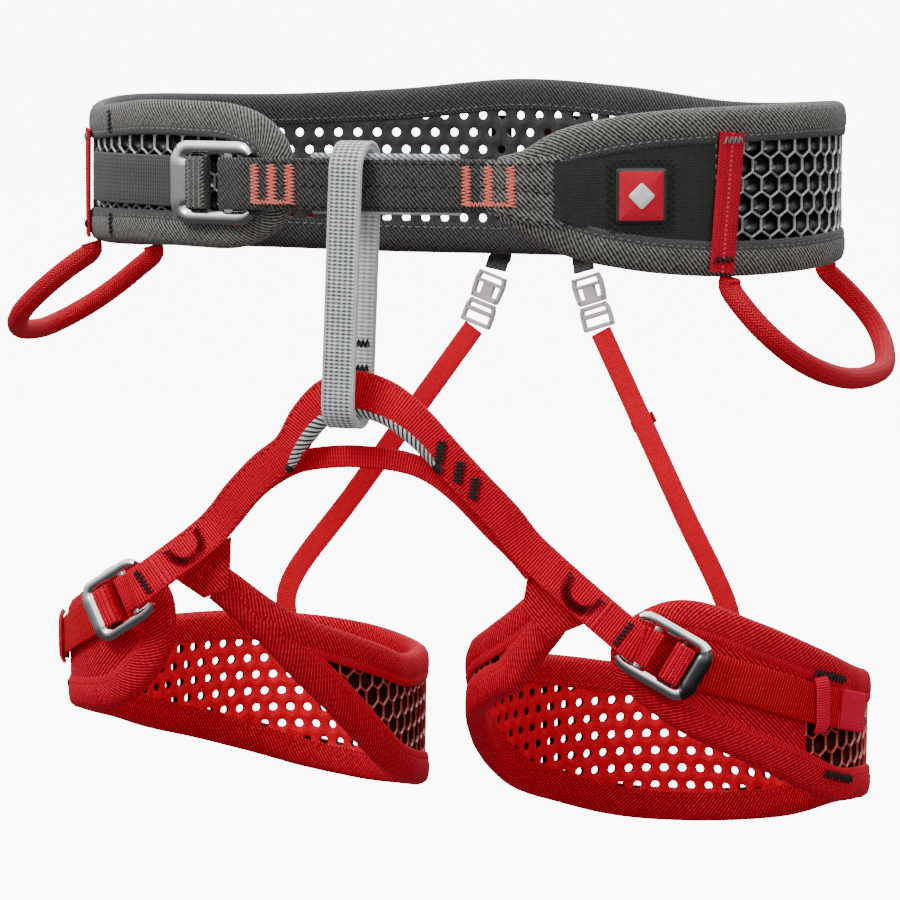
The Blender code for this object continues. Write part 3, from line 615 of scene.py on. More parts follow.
def ribbed(name, dark, light, pitch, columns, depth=0.2, sheen=0.08, share=0.7, specular=0.3):
    """Cross ribs broken into columns, as on flat webbing."""
    look = Look(name)
    u, v = look.pattern()
    rib = look.wave(look.wandering(u, 800, 0.5), pitch)
    height = look.math("MULTIPLY_ADD", look.wave(v, columns), 1 - share, look.math("MULTIPLY", rib, share))
    # The ramp paints shade into the grooves and highlight onto the ribs, over the yarn's own colour.
    colour = look.ramp(look.shade_and_wear(height, 110, 0.3), ((0.1, dark), (0.9, light)))
    return look.finish(colour, height, depth, sheen=sheen, specular=specular)


def herringbone(name, dark, light, pitch, column, depth, rib=None):
    """Yarns that slant one way and then the other. rib is a dotted line: its two edges and its colour."""
    look = Look(name)
    u, v = look.pattern()
    slant = look.math("ADD", u, look.math("PINGPONG", v, column))
    yarn = look.wave(look.wandering(slant, 700, 0.6), pitch)
    seam = look.math("POWER", look.wave(v, column), 0.5)
    height = look.math("MULTIPLY", yarn, look.math("MULTIPLY_ADD", seam, 0.5, 0.5))
    # The ramp paints shade into the grooves and highlight onto the yarns, over their own colour.
    colour = look.ramp(look.shade_and_wear(height, 120, 0.3), ((0.08, dark), (0.85, light)))
    if rib:
        low, high, tone = rib
        inside = look.math("MULTIPLY", look.math("GREATER_THAN", v, low), look.math("LESS_THAN", v, high))
        dots = look.math("MULTIPLY", inside, look.math("GREATER_THAN", look.wave(u, 1.8), 0.55))
        colour = look.mix(dots, colour, tone)
    return look.finish(colour, height, depth, 0.65, specular=0.2)


def striped(name, a, b, pitch, slope, cut):
    """A rope-like edging: two colours of yarn laid aslant round it."""
    look = Look(name)
    u, v = look.pattern()
    slant = look.math("MULTIPLY_ADD", v, slope, u)
    band = look.wave(slant, pitch)
    share = look.ramp(band, ((cut - 0.08, (0, 0, 0)), (cut + 0.08, (1, 1, 1))))
    fuzz = look.math("MULTIPLY", look.noise(1500, 2.0), 0.35)
    colour = look.mix(fuzz, look.mix(share, a, b), tuple(x * 0.35 for x in a))
    height = look.math("MULTIPLY_ADD", look.wave(slant, pitch / 3), 0.4, look.math("MULTIPLY", band, 0.6))
    return look.finish(colour, height, 0.25, 0.75, sheen=0.15)


def gloss_net(name, dark, light, rough, specular=0.6, sheen=0.0):
    """Moulded net with a fine knit in its surface."""
    look = Look(name)
    grain = look.noise(1400)
    colour = look.ramp(look.shade_and_wear(grain, 160, 0.8, 3.0), ((0.25, dark), (0.8, light)))
    roughness = look.math("MULTIPLY_ADD", grain, 0.3, rough - 0.15)
    return look.finish(colour, grain, 0.12, roughness, specular=specular, sheen=sheen)


def knit(name, dark, light, pitch, depth=0.15, sheen=0.2):
    """Fine plain cloth."""
    look = Look(name)
    u, v = look.pattern()
    height = look.math("MULTIPLY", look.wave(u, pitch), look.wave(v, pitch))
    # The ramp paints shade into the gaps of the knit and highlight onto its loops, over the yarn's own
    # colour.
    colour = look.ramp(look.shade_and_wear(height, 130, 0.7), ((0.0, dark), (0.8, light)))
    return look.finish(colour, height, depth, 0.85, sheen=sheen)


def thread(name, dark, light):
    """Twisted sewing thread."""
    look = Look(name)
    u, v = look.pattern()
    twist = look.wave(look.math("ADD", u, v), 0.7)
    # The ramp paints shade into the grooves of the twist and highlight onto its ridges, over the thread's own
    # colour.
    colour = look.ramp(look.shade_and_wear(twist, 600, 0.6, 2.0), ((0.0, dark), (0.8, light)))
    return look.finish(colour, twist, 0.06, 0.6, specular=0.15)


def metal(name, dark, light, rough, wear):
    """Satin metal with patches of tone and fine scuffs."""
    look = Look(name)
    scuff = look.noise(1800, 2.0)
    colour = look.ramp(look.noise(70, 4.0), ((0.3, dark), (0.7, light)))
    roughness = look.math("MULTIPLY_ADD", scuff, wear * 2, rough - wear)
    return look.finish(colour, scuff, 0.02, roughness, metallic=1.0)


def moulded(name, dark, light, rough=0.4):
    """Moulded plastic or rubber."""
    look = Look(name)
    grain = look.noise(1600, 2.0)
    colour = look.ramp(look.noise(90), ((0.3, dark), (0.7, light)))
    roughness = look.math("MULTIPLY_ADD", grain, 0.25, rough - 0.12)
    return look.finish(colour, grain, 0.03, roughness, coat=0.1)


# Each look's name, its colours in the grooves and on the ridges, and its weave. On the woven looks the groove
# colour is the yarn's colour with painted shade and the ridge colour the yarn's colour with painted
# highlight.
MATT = {"sheen": 0.0, "specular": 0.12}
FLAT_RIB = {"share": 0.85, **MATT}
CHARCOAL = twill("charcoal_twill", (0.001, 0.001, 0.001), (0.27, 0.26, 0.245), 1.35, depth=0.35)
# A darker copy of the charcoal twill for the binding's inner side: painted shade inside the belt.
CHARCOAL_SHADED = twill("charcoal_shaded_twill", (0.002, 0.002, 0.002), (0.085, 0.084, 0.082), 1.35, depth=0.3)
CHARCOAL_FINE = twill("charcoal_edge_twill", (0.006, 0.006, 0.006), (0.13, 0.13, 0.125), 0.8, 50)
STRAP_DARK = twill("strap_twill", (0.001, 0.001, 0.001), (0.100, 0.098, 0.092), 1.3, 40, 0.3)
WRAP_CLOTH = twill("wrap_twill", (0.005, 0.005, 0.005), (0.22, 0.215, 0.20), 1.0, 40)
RED_TWILL = twill("red_twill", (0.26, 0.0, 0.006), (1.0, 0.0, 0.034), 1.35, depth=0.3, **MATT)

TAIL_RIBBED = ribbed("tail_webbing", (0.008, 0.008, 0.008), (0.115, 0.112, 0.108), 1.2, 1.6, share=0.8)
RED_WEBBING = ribbed("red_webbing", (0.34, 0.0, 0.008), (1.0, 0.0, 0.034), 1.15, 1.7, **FLAT_RIB)
RED_FINE = ribbed("red_fine_webbing", (0.20, 0.0, 0.004), (0.90, 0.0, 0.018), 1.25, 3.0, share=0.92, **MATT)
RED_BRIGHT = ribbed("red_bright_webbing", (0.55, 0.0, 0.020), (1.0, 0.006, 0.070), 1.0, 1.4, **FLAT_RIB)
RISER_RED = ribbed("riser_red", (0.55, 0.0, 0.012), (1.0, 0.0, 0.030), 0.8, 1.2, 0.1, **FLAT_RIB)
BELAY_PALE = ribbed("belay_webbing", (0.07, 0.08, 0.09), (0.98, 1.0, 1.0), 1.5, 2.3, 0.4, share=0.62)
BELAY_WHITE = ribbed("belay_inner_webbing", (0.30, 0.31, 0.32), (0.96, 0.97, 0.98), 1.6, 2.7)

STRIP_RIB = (-0.5, 0.5, (0.95, 0.08, 0.12))
RED_STRIP = herringbone("red_strip", (0.32, 0.0, 0.008), (0.92, 0.0, 0.040), 1.2, 1.4, 0.2, STRIP_RIB)
RED_BRAID = herringbone("red_braid", (0.26, 0.0, 0.005), (1.0, 0.0, 0.030), 1.3, 1.72, 0.3)
ROPE_PIPING = striped("rope_piping", (0.16, 0.19, 0.22), (0.78, 0.80, 0.82), 2.6, 1.0, 0.45)
ARCH_PIPING = striped("arch_piping", (0.010, 0.010, 0.011), (0.85, 0.85, 0.84), 2.3, 0.8, 0.45)

# The black net's pale colours are painted highlight on its ridges, over the near black of the net itself.
NET_BLACK_HIGHLIT = gloss_net("net_black_highlit", (0.16, 0.165, 0.17), (0.70, 0.72, 0.74), 0.2, 1.0)
PIT_BLACK = gloss_net("net_pit_black", (0.001, 0.001, 0.001), (0.006, 0.006, 0.007), 0.28, 0.3)
LINER_DARK = gloss_net("liner_dark", (0.010, 0.010, 0.011), (0.060, 0.060, 0.063), 0.8, 0.3, 0.3)
NET_RED = gloss_net("net_red", (0.22, 0.002, 0.002), (0.90, 0.09, 0.05), 0.30, 0.7)
PIT_RED = gloss_net("net_pit_red", (0.012, 0.0, 0.0), (0.06, 0.0, 0.002), 0.6, 0.12)
LINER_RED = gloss_net("liner_red", (0.72, 0.0, 0.018), (1.0, 0.0, 0.030), 0.8, 0.12)

PALE_EDGE = knit("pale_edge", (0.30, 0.31, 0.32), (0.72, 0.74, 0.76), 0.7)
BELAY_EDGE = knit("belay_edge", (0.45, 0.48, 0.50), (0.96, 0.98, 1.0), 0.8)
PANEL_CLOTH = knit("panel_cloth", (0.002, 0.002, 0.002), (0.034, 0.034, 0.035), 0.8, 0.2, 0.0)
PATCH_RED = knit("patch_red", (0.62, 0.0, 0.020), (0.88, 0.004, 0.045), 0.6, 0.1, 0.0)

THREAD_GREY = thread("thread_grey", (0.06, 0.06, 0.06), (0.34, 0.34, 0.33))
THREAD_DARK = thread("thread_dark", (0.003, 0.003, 0.003), (0.030, 0.028, 0.029))
THREAD_RED = thread("thread_red", (0.26, 0.0, 0.006), (0.85, 0.03, 0.06))
# The pale pinkish colour is painted highlight on the thread, over its own orange-red.
THREAD_ORANGE = thread("thread_orange", (0.80, 0.008, 0.006), (1.0, 0.42, 0.32))

ALLOY = metal("alloy_satin", (0.70, 0.71, 0.73), (0.86, 0.87, 0.89), 0.17, 0.07)
ALLOY_DARK = metal("alloy_dark", (0.09, 0.09, 0.10), (0.15, 0.15, 0.16), 0.22, 0.08)
PALE_PLASTIC = moulded("pale_plastic", (0.62, 0.54, 0.55), (0.80, 0.73, 0.73))
PATCH_RIM = moulded("patch_rim", (0.006, 0.006, 0.007), (0.02, 0.02, 0.022), 0.5)
PATCH_MARK = moulded("patch_mark", (0.95, 0.95, 0.95), (1.0, 1.0, 1.0), 0.6)


# --- padded bands ----------------------------------------------------------------------------------

class Band:
    """A shaped band on an oval: a narrow start and a round far end."""

    def __init__(self, oval, top, bottom, start, end, round_length):
        self.oval, self.top_at, self.bottom_at = oval, top, bottom
        self.start, self.end, self.round_length = start, end, round_length
        self.way = 1 if end > start else -1

    def edges(self, s):
        """Heights of the lower and upper edge, which close in on each other at the round end."""
        top, bottom = through(self.top_at, s), through(self.bottom_at, s)
        left = np.clip(np.abs(self.end - s) / self.round_length, 0, 1)
        share = np.maximum((1 - (1 - left) ** 2.4) ** (1 / 2.4), 0.02)
        middle, half = (top + bottom) / 2, (top - bottom) / 2 * share
        return middle - half, middle + half

    def rim(self, step):
        """The outline along the lower edge, round the end, and back along the upper edge, evenly spaced."""
        turn_in = self.end - self.way * self.round_length
        curved = turn_in + (self.end - turn_in) * np.sin(np.linspace(0, pi / 2, 40)[1:])
        s = np.concatenate([spaced(self.start, turn_in, 3), curved])
        low, high = self.edges(s)
        line = np.concatenate([np.stack([s, low], -1), np.stack([s, high], -1)[::-1]])
        return resampled(line, step)

    def inside(self, s, z, margin):
        """Whether each place is inside the outline, clear of both edges by a margin."""
        low, high = self.edges(s)
        within = (z > low + margin) & (z < high - margin)
        first, last = min(self.start, self.end), max(self.start, self.end)
        return within & (s > first) & (s < last)


# The honeycomb: height from row to row, points round a cell, and clearance to the band's edges.
CELL_ROW, CELL_CORNERS, CELL_MARGIN = 7.7, 12, 5.0


def cell_centres(band, pitch):
    """Where the cells stand: staggered rows, clear of the band's edges."""
    first, last = min(band.start, band.end), max(band.start, band.end)
    z_low = min(z for _, z in band.bottom_at)
    z_high = max(z for _, z in band.top_at)
    rows = np.arange(int((z_high - z_low) / CELL_ROW) + 3)
    columns = np.arange(int((last - first) / pitch) + 3)
    i, j = np.meshgrid(columns, rows, indexing="ij")
    s = (first + (i + 0.5 * (j % 2)) * pitch).ravel()
    z = (z_low + j * CELL_ROW).ravel()
    keep = band.inside(s, z, CELL_MARGIN)
    return np.stack([s[keep], z[keep]], -1)


def cell_rings(pitch, hole):
    """One cell's rings of points and their depths: a ridge, a pit, a round hole and the liner round it."""
    corner = np.radians(30 + 60 * np.arange(6))
    reach = np.stack([np.cos(corner) * pitch / sqrt(3), np.sin(corner) * CELL_ROW * 2 / 3], -1)
    middle = (reach + np.roll(reach, -1, 0)) / 2
    outer = np.stack([reach, middle], 1).reshape(CELL_CORNERS, 2)
    circle = unit(outer)
    rings = (
        (outer, 6.35), (outer * 0.95, 6.2), (outer * 0.89, 5.6), (outer * 0.84, 4.8),
        (outer * 0.35 + circle * hole * 0.95, 3.4), (circle * (hole + 0.1), 2.7), (circle * hole, 0.6),
        (circle * (hole + 0.4), 0.05), (outer * 0.97, -0.15), (outer, 0.1),
    )
    return np.stack([shape for shape, _ in rings]), np.array([d for _, d in rings])


def honeycomb(piece, band, net, pit, liner, pitch=8.7, hole=1.9):
    """Hexagonal cells, each a ridge round a pit with a hole through to the liner."""
    centres = cell_centres(band, pitch)
    shapes, level = cell_rings(pitch, hole)
    spots = centres[:, None, None] + shapes[None]
    low, high = band.edges(spots[..., 0])
    spots[..., 1] = np.clip(spots[..., 1], low + 1.0, high - 1.0)
    uneven = 0.25 * np.sin(centres[:, 0] * 0.9) * np.cos(centres[:, 1] * 1.3)
    d = level[None, :, None] + (level > 4)[None, :, None] * uneven[:, None, None]
    first = piece.put_points(band.oval.place(spots[..., 0], spots[..., 1], d))
    spots = spots.reshape(-1, 2)
    cells = np.arange(len(centres))[:, None, None] * len(level) * CELL_CORNERS
    k = np.arange(CELL_CORNERS)
    after = (k + 1) % CELL_CORNERS
    for ring, look in enumerate((net, net, pit, pit, pit, pit, liner, liner, liner)):
        quad = np.stack([k, after, after + CELL_CORNERS, k + CELL_CORNERS], -1)[:, :: band.oval.side]
        faces = (cells + ring * CELL_CORNERS + quad).reshape(-1, 4)
        piece.put_faces(first, faces, spots[faces], look)


def end_cover(piece, band, length, cloth):
    """Cloth over the honeycomb at the band's round end."""
    s = band.end - band.way * spaced(1.5, length, 2)
    low, high = band.edges(s)
    wide, z = between(s, low + 3, high - 3, 15)
    d = 7.0 + 0.25 * np.sin(wide / 9.0 + z / 6.0)
    d[-1] -= 0.9
    two_sided(piece, band.oval, wide, z, d, 0.6, cloth)


def between(u, low, high, count):
    """A grid of places: one row at each u, with evenly spaced heights between two edges."""
    z = low[:, None] + (high - low)[:, None] * np.linspace(0, 1, count)
    return np.broadcast_to(u[:, None], z.shape), z


def two_sided(piece, oval, wide, z, d, thick, cloth):
    """A sheet of cloth on an oval, with its back a little further in."""
    pattern = np.stack([wide, z], -1)
    piece.grid(oval.place(wide, z, d), pattern, cloth, flip=oval.side < 0)
    piece.grid(oval.place(wide, z, d - thick), pattern, cloth, flip=oval.side > 0)


# Binding cross-section: distance in from the rim, depth out from the band's inner face. Its inner side, its
# puffed outer side and its lip have looks of their own. On the belt the inner side is a darker twill: painted
# shade.
BINDING_PROFILE = np.array((
    (12.6, 0.2), (12.4, -0.55), (9, -0.95), (5, -1.1), (2, -0.8), (0.3, 0.1), (-0.7, 1.6), (-1.0, 3.3),
    (-0.6, 5.0), (0.5, 6.6), (2.4, 7.5), (5.2, 7.9), (8.4, 7.9), (9.4, 7.55), (11.2, 7.6), (12.7, 7.3),
    (13.1, 6.7), (12.6, 5.6),
))
BINDING_OUTSIDE, BINDING_LIP = 6, 13


def rim_frames(band):
    """Points of the rim, how far along it they are, the directions inwards from it, and the share of the
    binding's width that fits before it meets the other edge."""
    rim, far = band.rim(2.0)
    ahead = unit(np.gradient(rim, axis=0))
    inward = np.stack([-ahead[:, 1], ahead[:, 0]], -1) * band.way
    for _ in range(3):
        inward[1:-1] = unit(inward[:-2] + 2 * inward[1:-1] + inward[2:])
    low, high = band.edges(rim[:, 0])
    room = np.maximum((high - low) / 2 - 0.4, 1.5) / np.maximum(np.abs(inward[:, 1]), 0.15)
    turning = np.abs(rim[:, 0] - band.end) < band.round_length * 0.8
    share = np.where(turning, 1.0, np.minimum(room / BINDING_WIDTH, 1.0))
    return rim, far, inward, share


def binding(piece, band, cloths, stitch, lift=0.0):
    """Folded tape round the rim, puffed between its stitches, with a stitched lip along its inner edge."""
    cloth, inner_cloth, lip_cloth = cloths
    rim, far, inward, share = rim_frames(band)
    puff = 0.105 * np.sin(far / 3.1) + 0.07 * np.sin(far / 7.7 + 1.3)
    reach = BINDING_PROFILE[None, :, 0] * share[:, None]
    depth = np.broadcast_to(BINDING_PROFILE[None, :, 1], reach.shape).copy()
    depth[:, 2:5] -= np.abs(puff[:, None]) * 0.5
    depth[:, 9:BINDING_LIP] += puff[:, None]
    depth[:, 9:] += lift
    spots = rim[:, None] + inward[:, None] * reach[..., None]
    points = band.oval.place(spots[..., 0], spots[..., 1], depth)
    pattern = np.stack(np.meshgrid(far, lengths(BINDING_PROFILE), indexing="ij"), -1)
    turned = band.oval.side * band.way < 0
    edges = (0, BINDING_OUTSIDE, BINDING_LIP, len(BINDING_PROFILE) - 1)
    for first, last, look in zip(edges, edges[1:], (inner_cloth, cloth, lip_cloth)):
        piece.grid(points[:, first : last + 1], pattern[:, first : last + 1], look, flip=turned)
    piece.cap(points[0], cloth, flip=not turned)
    piece.cap(points[-1], cloth, flip=turned)
    for inset, d, way, radius in ((10.4, 7.45 + lift, 1, 0.3), (10.6, -0.85, -1, 0.28)):
        line = rim + inward * (inset * share)[:, None]
        path = band.oval.place(line[:, 0], line[:, 1], d)
        sew(piece, path, band.oval.normal(line[:, 0]) * way, stitch, 2.2, 1.2, radius)


# --- waist belt ------------------------------------------------------------------------------------

BELT = Band(WAIST, WAIST_TOP, WAIST_BOTTOM, WAIST_NOSE, WAIST_END, WAIST_ROUND)
LEG_BANDS = {
    side: Band(LEGS[side], LEG_TOP[side], LEG_BOTTOM[side], LEG_TAB[side], LEG_TIP[side], LEG_ROUND)
    for side in SIDES
}


def belt_pad():
    """The waist belt's honeycomb with its liner, and the binding round it."""
    pad = Piece("belt_pad")
    honeycomb(pad, BELT, NET_BLACK_HIGHLIT, PIT_BLACK, LINER_DARK)
    pad.finish("belt", "black", ("waist_foam", "waist_mesh"), padded=0.9, angle=50)
    tape = Piece("belt_binding")
    # The binding's inner side takes the darker twill, as painted shade inside the belt.
    binding(tape, BELT, (CHARCOAL, CHARCOAL_SHADED, CHARCOAL_FINE), THREAD_GREY)
    upright_tacks(tape, BELT, (262, 300, 352, 452, 504, 548, 700), 6.5, 8.0, 2.6)
    tape.finish("belt", "charcoal", ("waist_binding",), padded=0.8, angle=60)


def wing_panel():
    """The dark woven panel on the wing, thicker where the strap's cloth runs onto it."""
    panel = Piece("wing_panel_cloth")
    u = spaced(*PANEL_U, 2)
    low, high = BELT.edges(u)
    low, high = np.minimum(low + 12.2, -11.5), np.maximum(high - 12.2, 11.0)
    wide, z = between(u, low, high, 12)
    over = 2.6 * np.clip(1 - (u - u[0]) / 14, 0, 1)[:, None] ** 0.7
    level = 6.9 + over + 0.5 * np.sin(pi * np.linspace(0, 1, 12))
    pattern = np.stack([wide, z], -1)
    panel.grid(WAIST.place(wide, z, level), pattern, PANEL_CLOTH)
    panel.grid(WAIST.place(wide, z, 6.1), pattern, PANEL_CLOTH, flip=True)
    seam_u = np.full(12, u[-1] - 0.8)
    seam_z = np.linspace(np.interp(seam_u[0], u, low), np.interp(seam_u[0], u, high), 12)
    sew(panel, WAIST.place(seam_u, seam_z, 7.15), WAIST.normal(seam_u), THREAD_GREY)
    panel.finish("belt", "black", ("wing_panel",))


def wing_patch():
    """A rubber patch with a plain diamond on it, sewn on with two rounds of stitches."""
    patch = Piece("wing_patch_tag")
    (u0, u1), (z0, z1) = PATCH_U, PATCH_Z
    middle = np.array(((u0 + u1) / 2, (z0 + z1) / 2))
    wide, tall = (u1 - u0) / 2, (z1 - z0) / 2 + 1.2
    patch_plate(patch, middle, rounded_outline(wide + 0.5, tall + 0.5, 1.2), 7.3, 8.4, PATCH_RIM)
    patch_plate(patch, middle, rounded_outline(wide - 0.7, tall - 0.7, 0.6), 8.1, 8.9, PATCH_RED)
    square = rounded_outline(3.6, 3.6, 0.9)
    diamond = np.stack([square[:, 0] - square[:, 1], (square[:, 0] + square[:, 1]) * 1.05], -1) * 0.707
    patch_plate(patch, middle, diamond, 8.7, 9.5, PATCH_MARK)
    for grow in (2.2, 3.6):
        corners = rounded_outline(wide + grow, tall + grow, 1.0)
        ring = middle + np.vstack([corners, corners[:1]])
        place = WAIST.place(ring[:, 0], ring[:, 1], 7.75)
        sew(patch, place, WAIST.normal(ring[:, 0]), THREAD_DARK, 1.7, 1.0, 0.3)
    patch.finish("belt", "red", ("wing_patch",))


def patch_plate(piece, middle, outline, d_low, d_high, material):
    """A thin raised plate on the belt, its top edge rounded over."""
    size = np.abs(outline).max()
    scales = (1.0, 1.0, 1 - 0.3 / size, 0.4)
    flat = np.stack([outline * scale + middle for scale in scales])
    levels = np.array((d_low, d_high - 0.25, d_high, d_high + 0.05))[:, None]
    points = WAIST.place(flat[..., 0], flat[..., 1], levels)
    pattern = np.concatenate([flat, flat[:, :1]], 1)
    piece.grid(points, pattern, material, wrap=True, flip=True)
    piece.put(points[-1], np.arange(len(outline))[None], flat[-1][None], material)


def rounded_outline(half_x, half_y, radius):
    """The outline of a rectangle with round corners."""
    points = []
    for side_x, side_y, start in ((1, 1, 0), (-1, 1, 90), (-1, -1, 180), (1, -1, 270)):
        turn = np.radians(start + np.linspace(0, 90, 6))
        x, y = side_x * (half_x - radius), side_y * (half_y - radius)
        points.append(np.stack([x + radius * np.cos(turn), y + radius * np.sin(turn)], -1))
    return np.concatenate(points)


# The front strap's way from its fold in the buckle to the wing: distance along the belt and out from it.
STRAP_WAY = (
    (-38, 11.4), (-31.5, 9.3), (-24.5, 6.7), (-14, 4.5), (0, 3.8), (14, 3.8), (27, 3.8), (40, 3.8),
    (STRAP_END_U, 3.8),
)
# The stretch of the strap, up to the wing, that shows rows of stitches.
SEWN_LENGTH = 96
STRAP_HALF = STRAP_WIDTH / 2


def belt_strap():
    """The front strap from its fold in the buckle to the wing, with its stitches and bartacks."""
    strap = Piece("belt_strap")
    matrix = buckle_matrix(WAIST, WAIST_BUCKLE_U, STRAP_Z, BUCKLE["level"], 0.0, -1)
    fold = [at_matrix(matrix, x, 0, d - BUCKLE["level"]) for x, d in fold_path(BUCKLE)]
    path = smooth_path([*fold, *(WAIST.place(u, STRAP_Z, d) for u, d in STRAP_WAY)], 5)
    _, out = webbing(strap, path, UP, STRAP_WIDTH, 1.4, STRAP_DARK, crown=0.15)
    if out[-1] @ WAIST.normal(STRAP_END_U) < 0:
        out = -out
    far = lengths(path)
    seen = far > far[-1] - SEWN_LENGTH
    for z in (-STRAP_HALF + 1.7, -0.4, STRAP_HALF - 1.7):
        sew(strap, (path + UP * z + out * 0.8)[seen], out[seen], THREAD_DARK, 2.6, 1.2)
    gusset(strap)
    orange_bars(strap)
    strap.finish("belt", "charcoal", ("waist_strap",))


def belt_lining():
    """The pale edging behind the strap, where the belay loop hangs, and the strap's tail on the pad."""
    sleeve = Piece("tie_in_edging")
    u = spaced(*SLEEVE_U, 1.5)
    front = WAIST.normal(u[0])
    tube(sleeve, WAIST.place(u, STRAP_Z + STRAP_HALF + 0.5, 3.2), 1.55, ROPE_PIPING, steady=front)
    webbing(sleeve, WAIST.place(u, STRAP_Z, 1.5), UP, STRAP_WIDTH + 2, 1.3, PALE_EDGE)
    tube(sleeve, WAIST.place(u, STRAP_Z - STRAP_HALF - 0.4, 2.9), 0.85, PALE_EDGE, sides=8, steady=front)
    sleeve.finish("belt", "grey", ("tie_in_sleeve",))
    tail = Piece("belt_tail")
    webbing(tail, WAIST.place(spaced(*TAIL_U, 2), STRAP_Z, 7.9), UP, STRAP_WIDTH, 1.5, TAIL_RIBBED)
    tail.finish("belt", "charcoal", ("waist_tail",))


# How far out the front of the strap and its gusset stands, and the gusset's edges.
FRONT_LEVEL = (
    (-46, 13.75), (-42, 13.2), (-38, 12.3), (-31.5, 10.2), (-24.5, 7.6), (-14, 5.3), (0, 4.65), (47, 4.65),
    (51, 6.4), (56, 8.9), (62, 9.5), (82, 8.3),
)
GUSSET_TOP = ((46, 11.2), (54, 11.6), (60, 11.8), (68, 12.2), (73, 13.4), (77, 14.4))
GUSSET_BOTTOM = ((46, -8.8), (54, -10.6), (60, -12.2), (68, -14.2), (73, -16.2), (77, -17.6))


def straight_through(stations, at):
    """Straight lines through (place, value) stations."""
    return np.interp(at, *np.transpose(stations))


def front_at(u, z, turn=0.0):
    """A place on the front of the strap and its gusset, for bartack."""
    return level_at(WAIST, lambda at: straight_through(FRONT_LEVEL, at), u, z, turn)


def gusset(piece):
    """Cloth that widens from the strap to the wing's panel, gathered into soft folds."""
    u = spaced(46, 77, 1.0)
    share = np.linspace(0, 1, 25)
    wide, z = between(u, straight_through(GUSSET_BOTTOM, u), straight_through(GUSSET_TOP, u), 25)
    fold = 0.35 * np.sin(share * 21 + 0.8) * np.sin(pi * np.clip((u - 48) / 28, 0, 1))[:, None]
    edge = -1.2 * np.abs(share * 2 - 1) ** 8
    d = straight_through(FRONT_LEVEL, u)[:, None] + fold + edge
    two_sided(piece, WAIST, wide, z, d, 1.0, CHARCOAL)
    for k in (2, 12, 22):
        sew(piece, WAIST.place(wide[:, k], z[:, k], d[:, k] + 0.1), WAIST.normal(wide[:, k]), THREAD_DARK)


def orange_bars(piece):
    """Bartacks that close the tie-in points: three bars on each, joined at their lower ends."""
    half = STRAP_HALF - 2.6
    for middle, spread in ((-35.5, 6.6), (49.4, 8.6)):
        for k in (-1, 0, 1):
            at = front_at(middle + k * spread, STRAP_Z, pi / 2)
            bartack(piece, at, 2 * half, 3.8, THREAD_ORANGE, pitch=1.3, radius=0.34)
        for k in (-0.5, 0.5):
            at = front_at(middle + k * spread, STRAP_Z - half + 0.6)
            bartack(piece, at, spread, 1.8, THREAD_ORANGE, pitch=1.3, radius=0.3)


# --- buckles ---------------------------------------------------------------------------------------

def buckle_matrix(oval, u, z, d, slope, way):
    """x along the strap towards its tail, y across it, z out of the belt, with its place, as rows."""
    out = oval.normal(float(u))
    along = oval.along(float(u)) * way * cos(slope) + UP * sin(slope)
    return np.stack([along, np.cross(out, along), out, oval.place(u, z, d)])


def at_matrix(m, x, y, z):
    """Points given in a buckle's own x, y and z."""
    x, y, z = np.broadcast_arrays(np.asarray(x, float), np.asarray(y, float), np.asarray(z, float))
    return x[..., None] * m[0] + y[..., None] * m[1] + z[..., None] * m[2] + m[3]


def scaled(size, factor, webbing_width):
    """The same buckle smaller, for narrower webbing, but as thick."""
    made = {key: np.multiply(value, factor) for key, value in size.items()}
    made.update(webbing=webbing_width, thick=size["thick"], level=size["level"])
    made["arm"] = (made["height"] - webbing_width - 1.6) / 2
    return made


# How much the webbing cuts each corner as it turns round a bar.
TURN = 0.7


def webbing_levels(size):
    """The middle of the webbing where it lies under and over a bar."""
    reach = size["thick"] / 2 + 1
    return size["level"] - reach, size["level"] + reach


def wrap_path(size):
    """Webbing folded round the slider bar, with a gap below it: (x, distance out) corners."""
    low, high = webbing_levels(size)
    x0, x1, c = size["slider"][0] - 1, size["slider"][1] + 1, TURN
    return [
        (x1 - 2.6, low), (x1 - c, low), (x1, low + c), (x1, high - c), (x1 - c, high),
        (x0 + c, high), (x0, high - c), (x0, low + c), (x0 + c, low), (x0 + 2.6, low),
    ]


def fold_path(size):
    """Webbing folded round the cross bar and back over it: (x, distance out) corners."""
    low, high = webbing_levels(size)
    x0, x1, c = size["cross"][0], size["cross"][1] + 1, TURN
    turn = [(x1 - c, low), (x1, low + c), (x1, high - c), (x1 - c, high)]
    return [(x0, low), *turn, (x0, high), (BUCKLE_TAIL_X, high)]


def bevelled_bar(piece, matrix, spine, widths, low, high, bevel, material):
    """A bar along a spine of (x, y) points, with its top edges cut back by a bevel."""
    spine = np.asarray(spine, float)
    ahead = unit(np.gradient(spine, axis=0))
    side = np.stack([-ahead[:, 1], ahead[:, 0]], -1)
    widths, high = np.broadcast_to(widths, (len(spine),)), np.broadcast_to(high, (len(spine),))
    rows = []
    for spot, way, width, top in zip(spine, side, widths, high):
        w = width / 2
        b = min(bevel, w * 0.6)
        half = (
            (w - 0.3, low), (w, low + 0.35), (w, top - b * 0.8), (w - b * 0.15, top - b * 0.6),
            (w - b, top - 0.05), (w - b - 0.1, top),
        )
        shape = (*half, *((-x, z) for x, z in half[::-1]))
        rows.append([(*(spot + way * x), z) for x, z in shape])
    rows = np.array(rows)
    points = at_matrix(matrix, rows[..., 0], rows[..., 1], rows[..., 2])
    flat = np.concatenate([rows[..., :2], rows[:, :1, :2]], 1)
    piece.grid(points, flat, material, wrap=True)
    piece.cap(points[0], material, flip=True)
    piece.cap(points[-1], material)


def level_bar(piece, matrix, reach, y, width, thick, bevel, material):
    """A straight bar across a plate, from -reach to reach."""
    spine = [(share * reach, y) for share in (-1, -0.5, 0.5, 1)]
    bevelled_bar(piece, matrix, spine, width, -thick, thick, bevel, material)


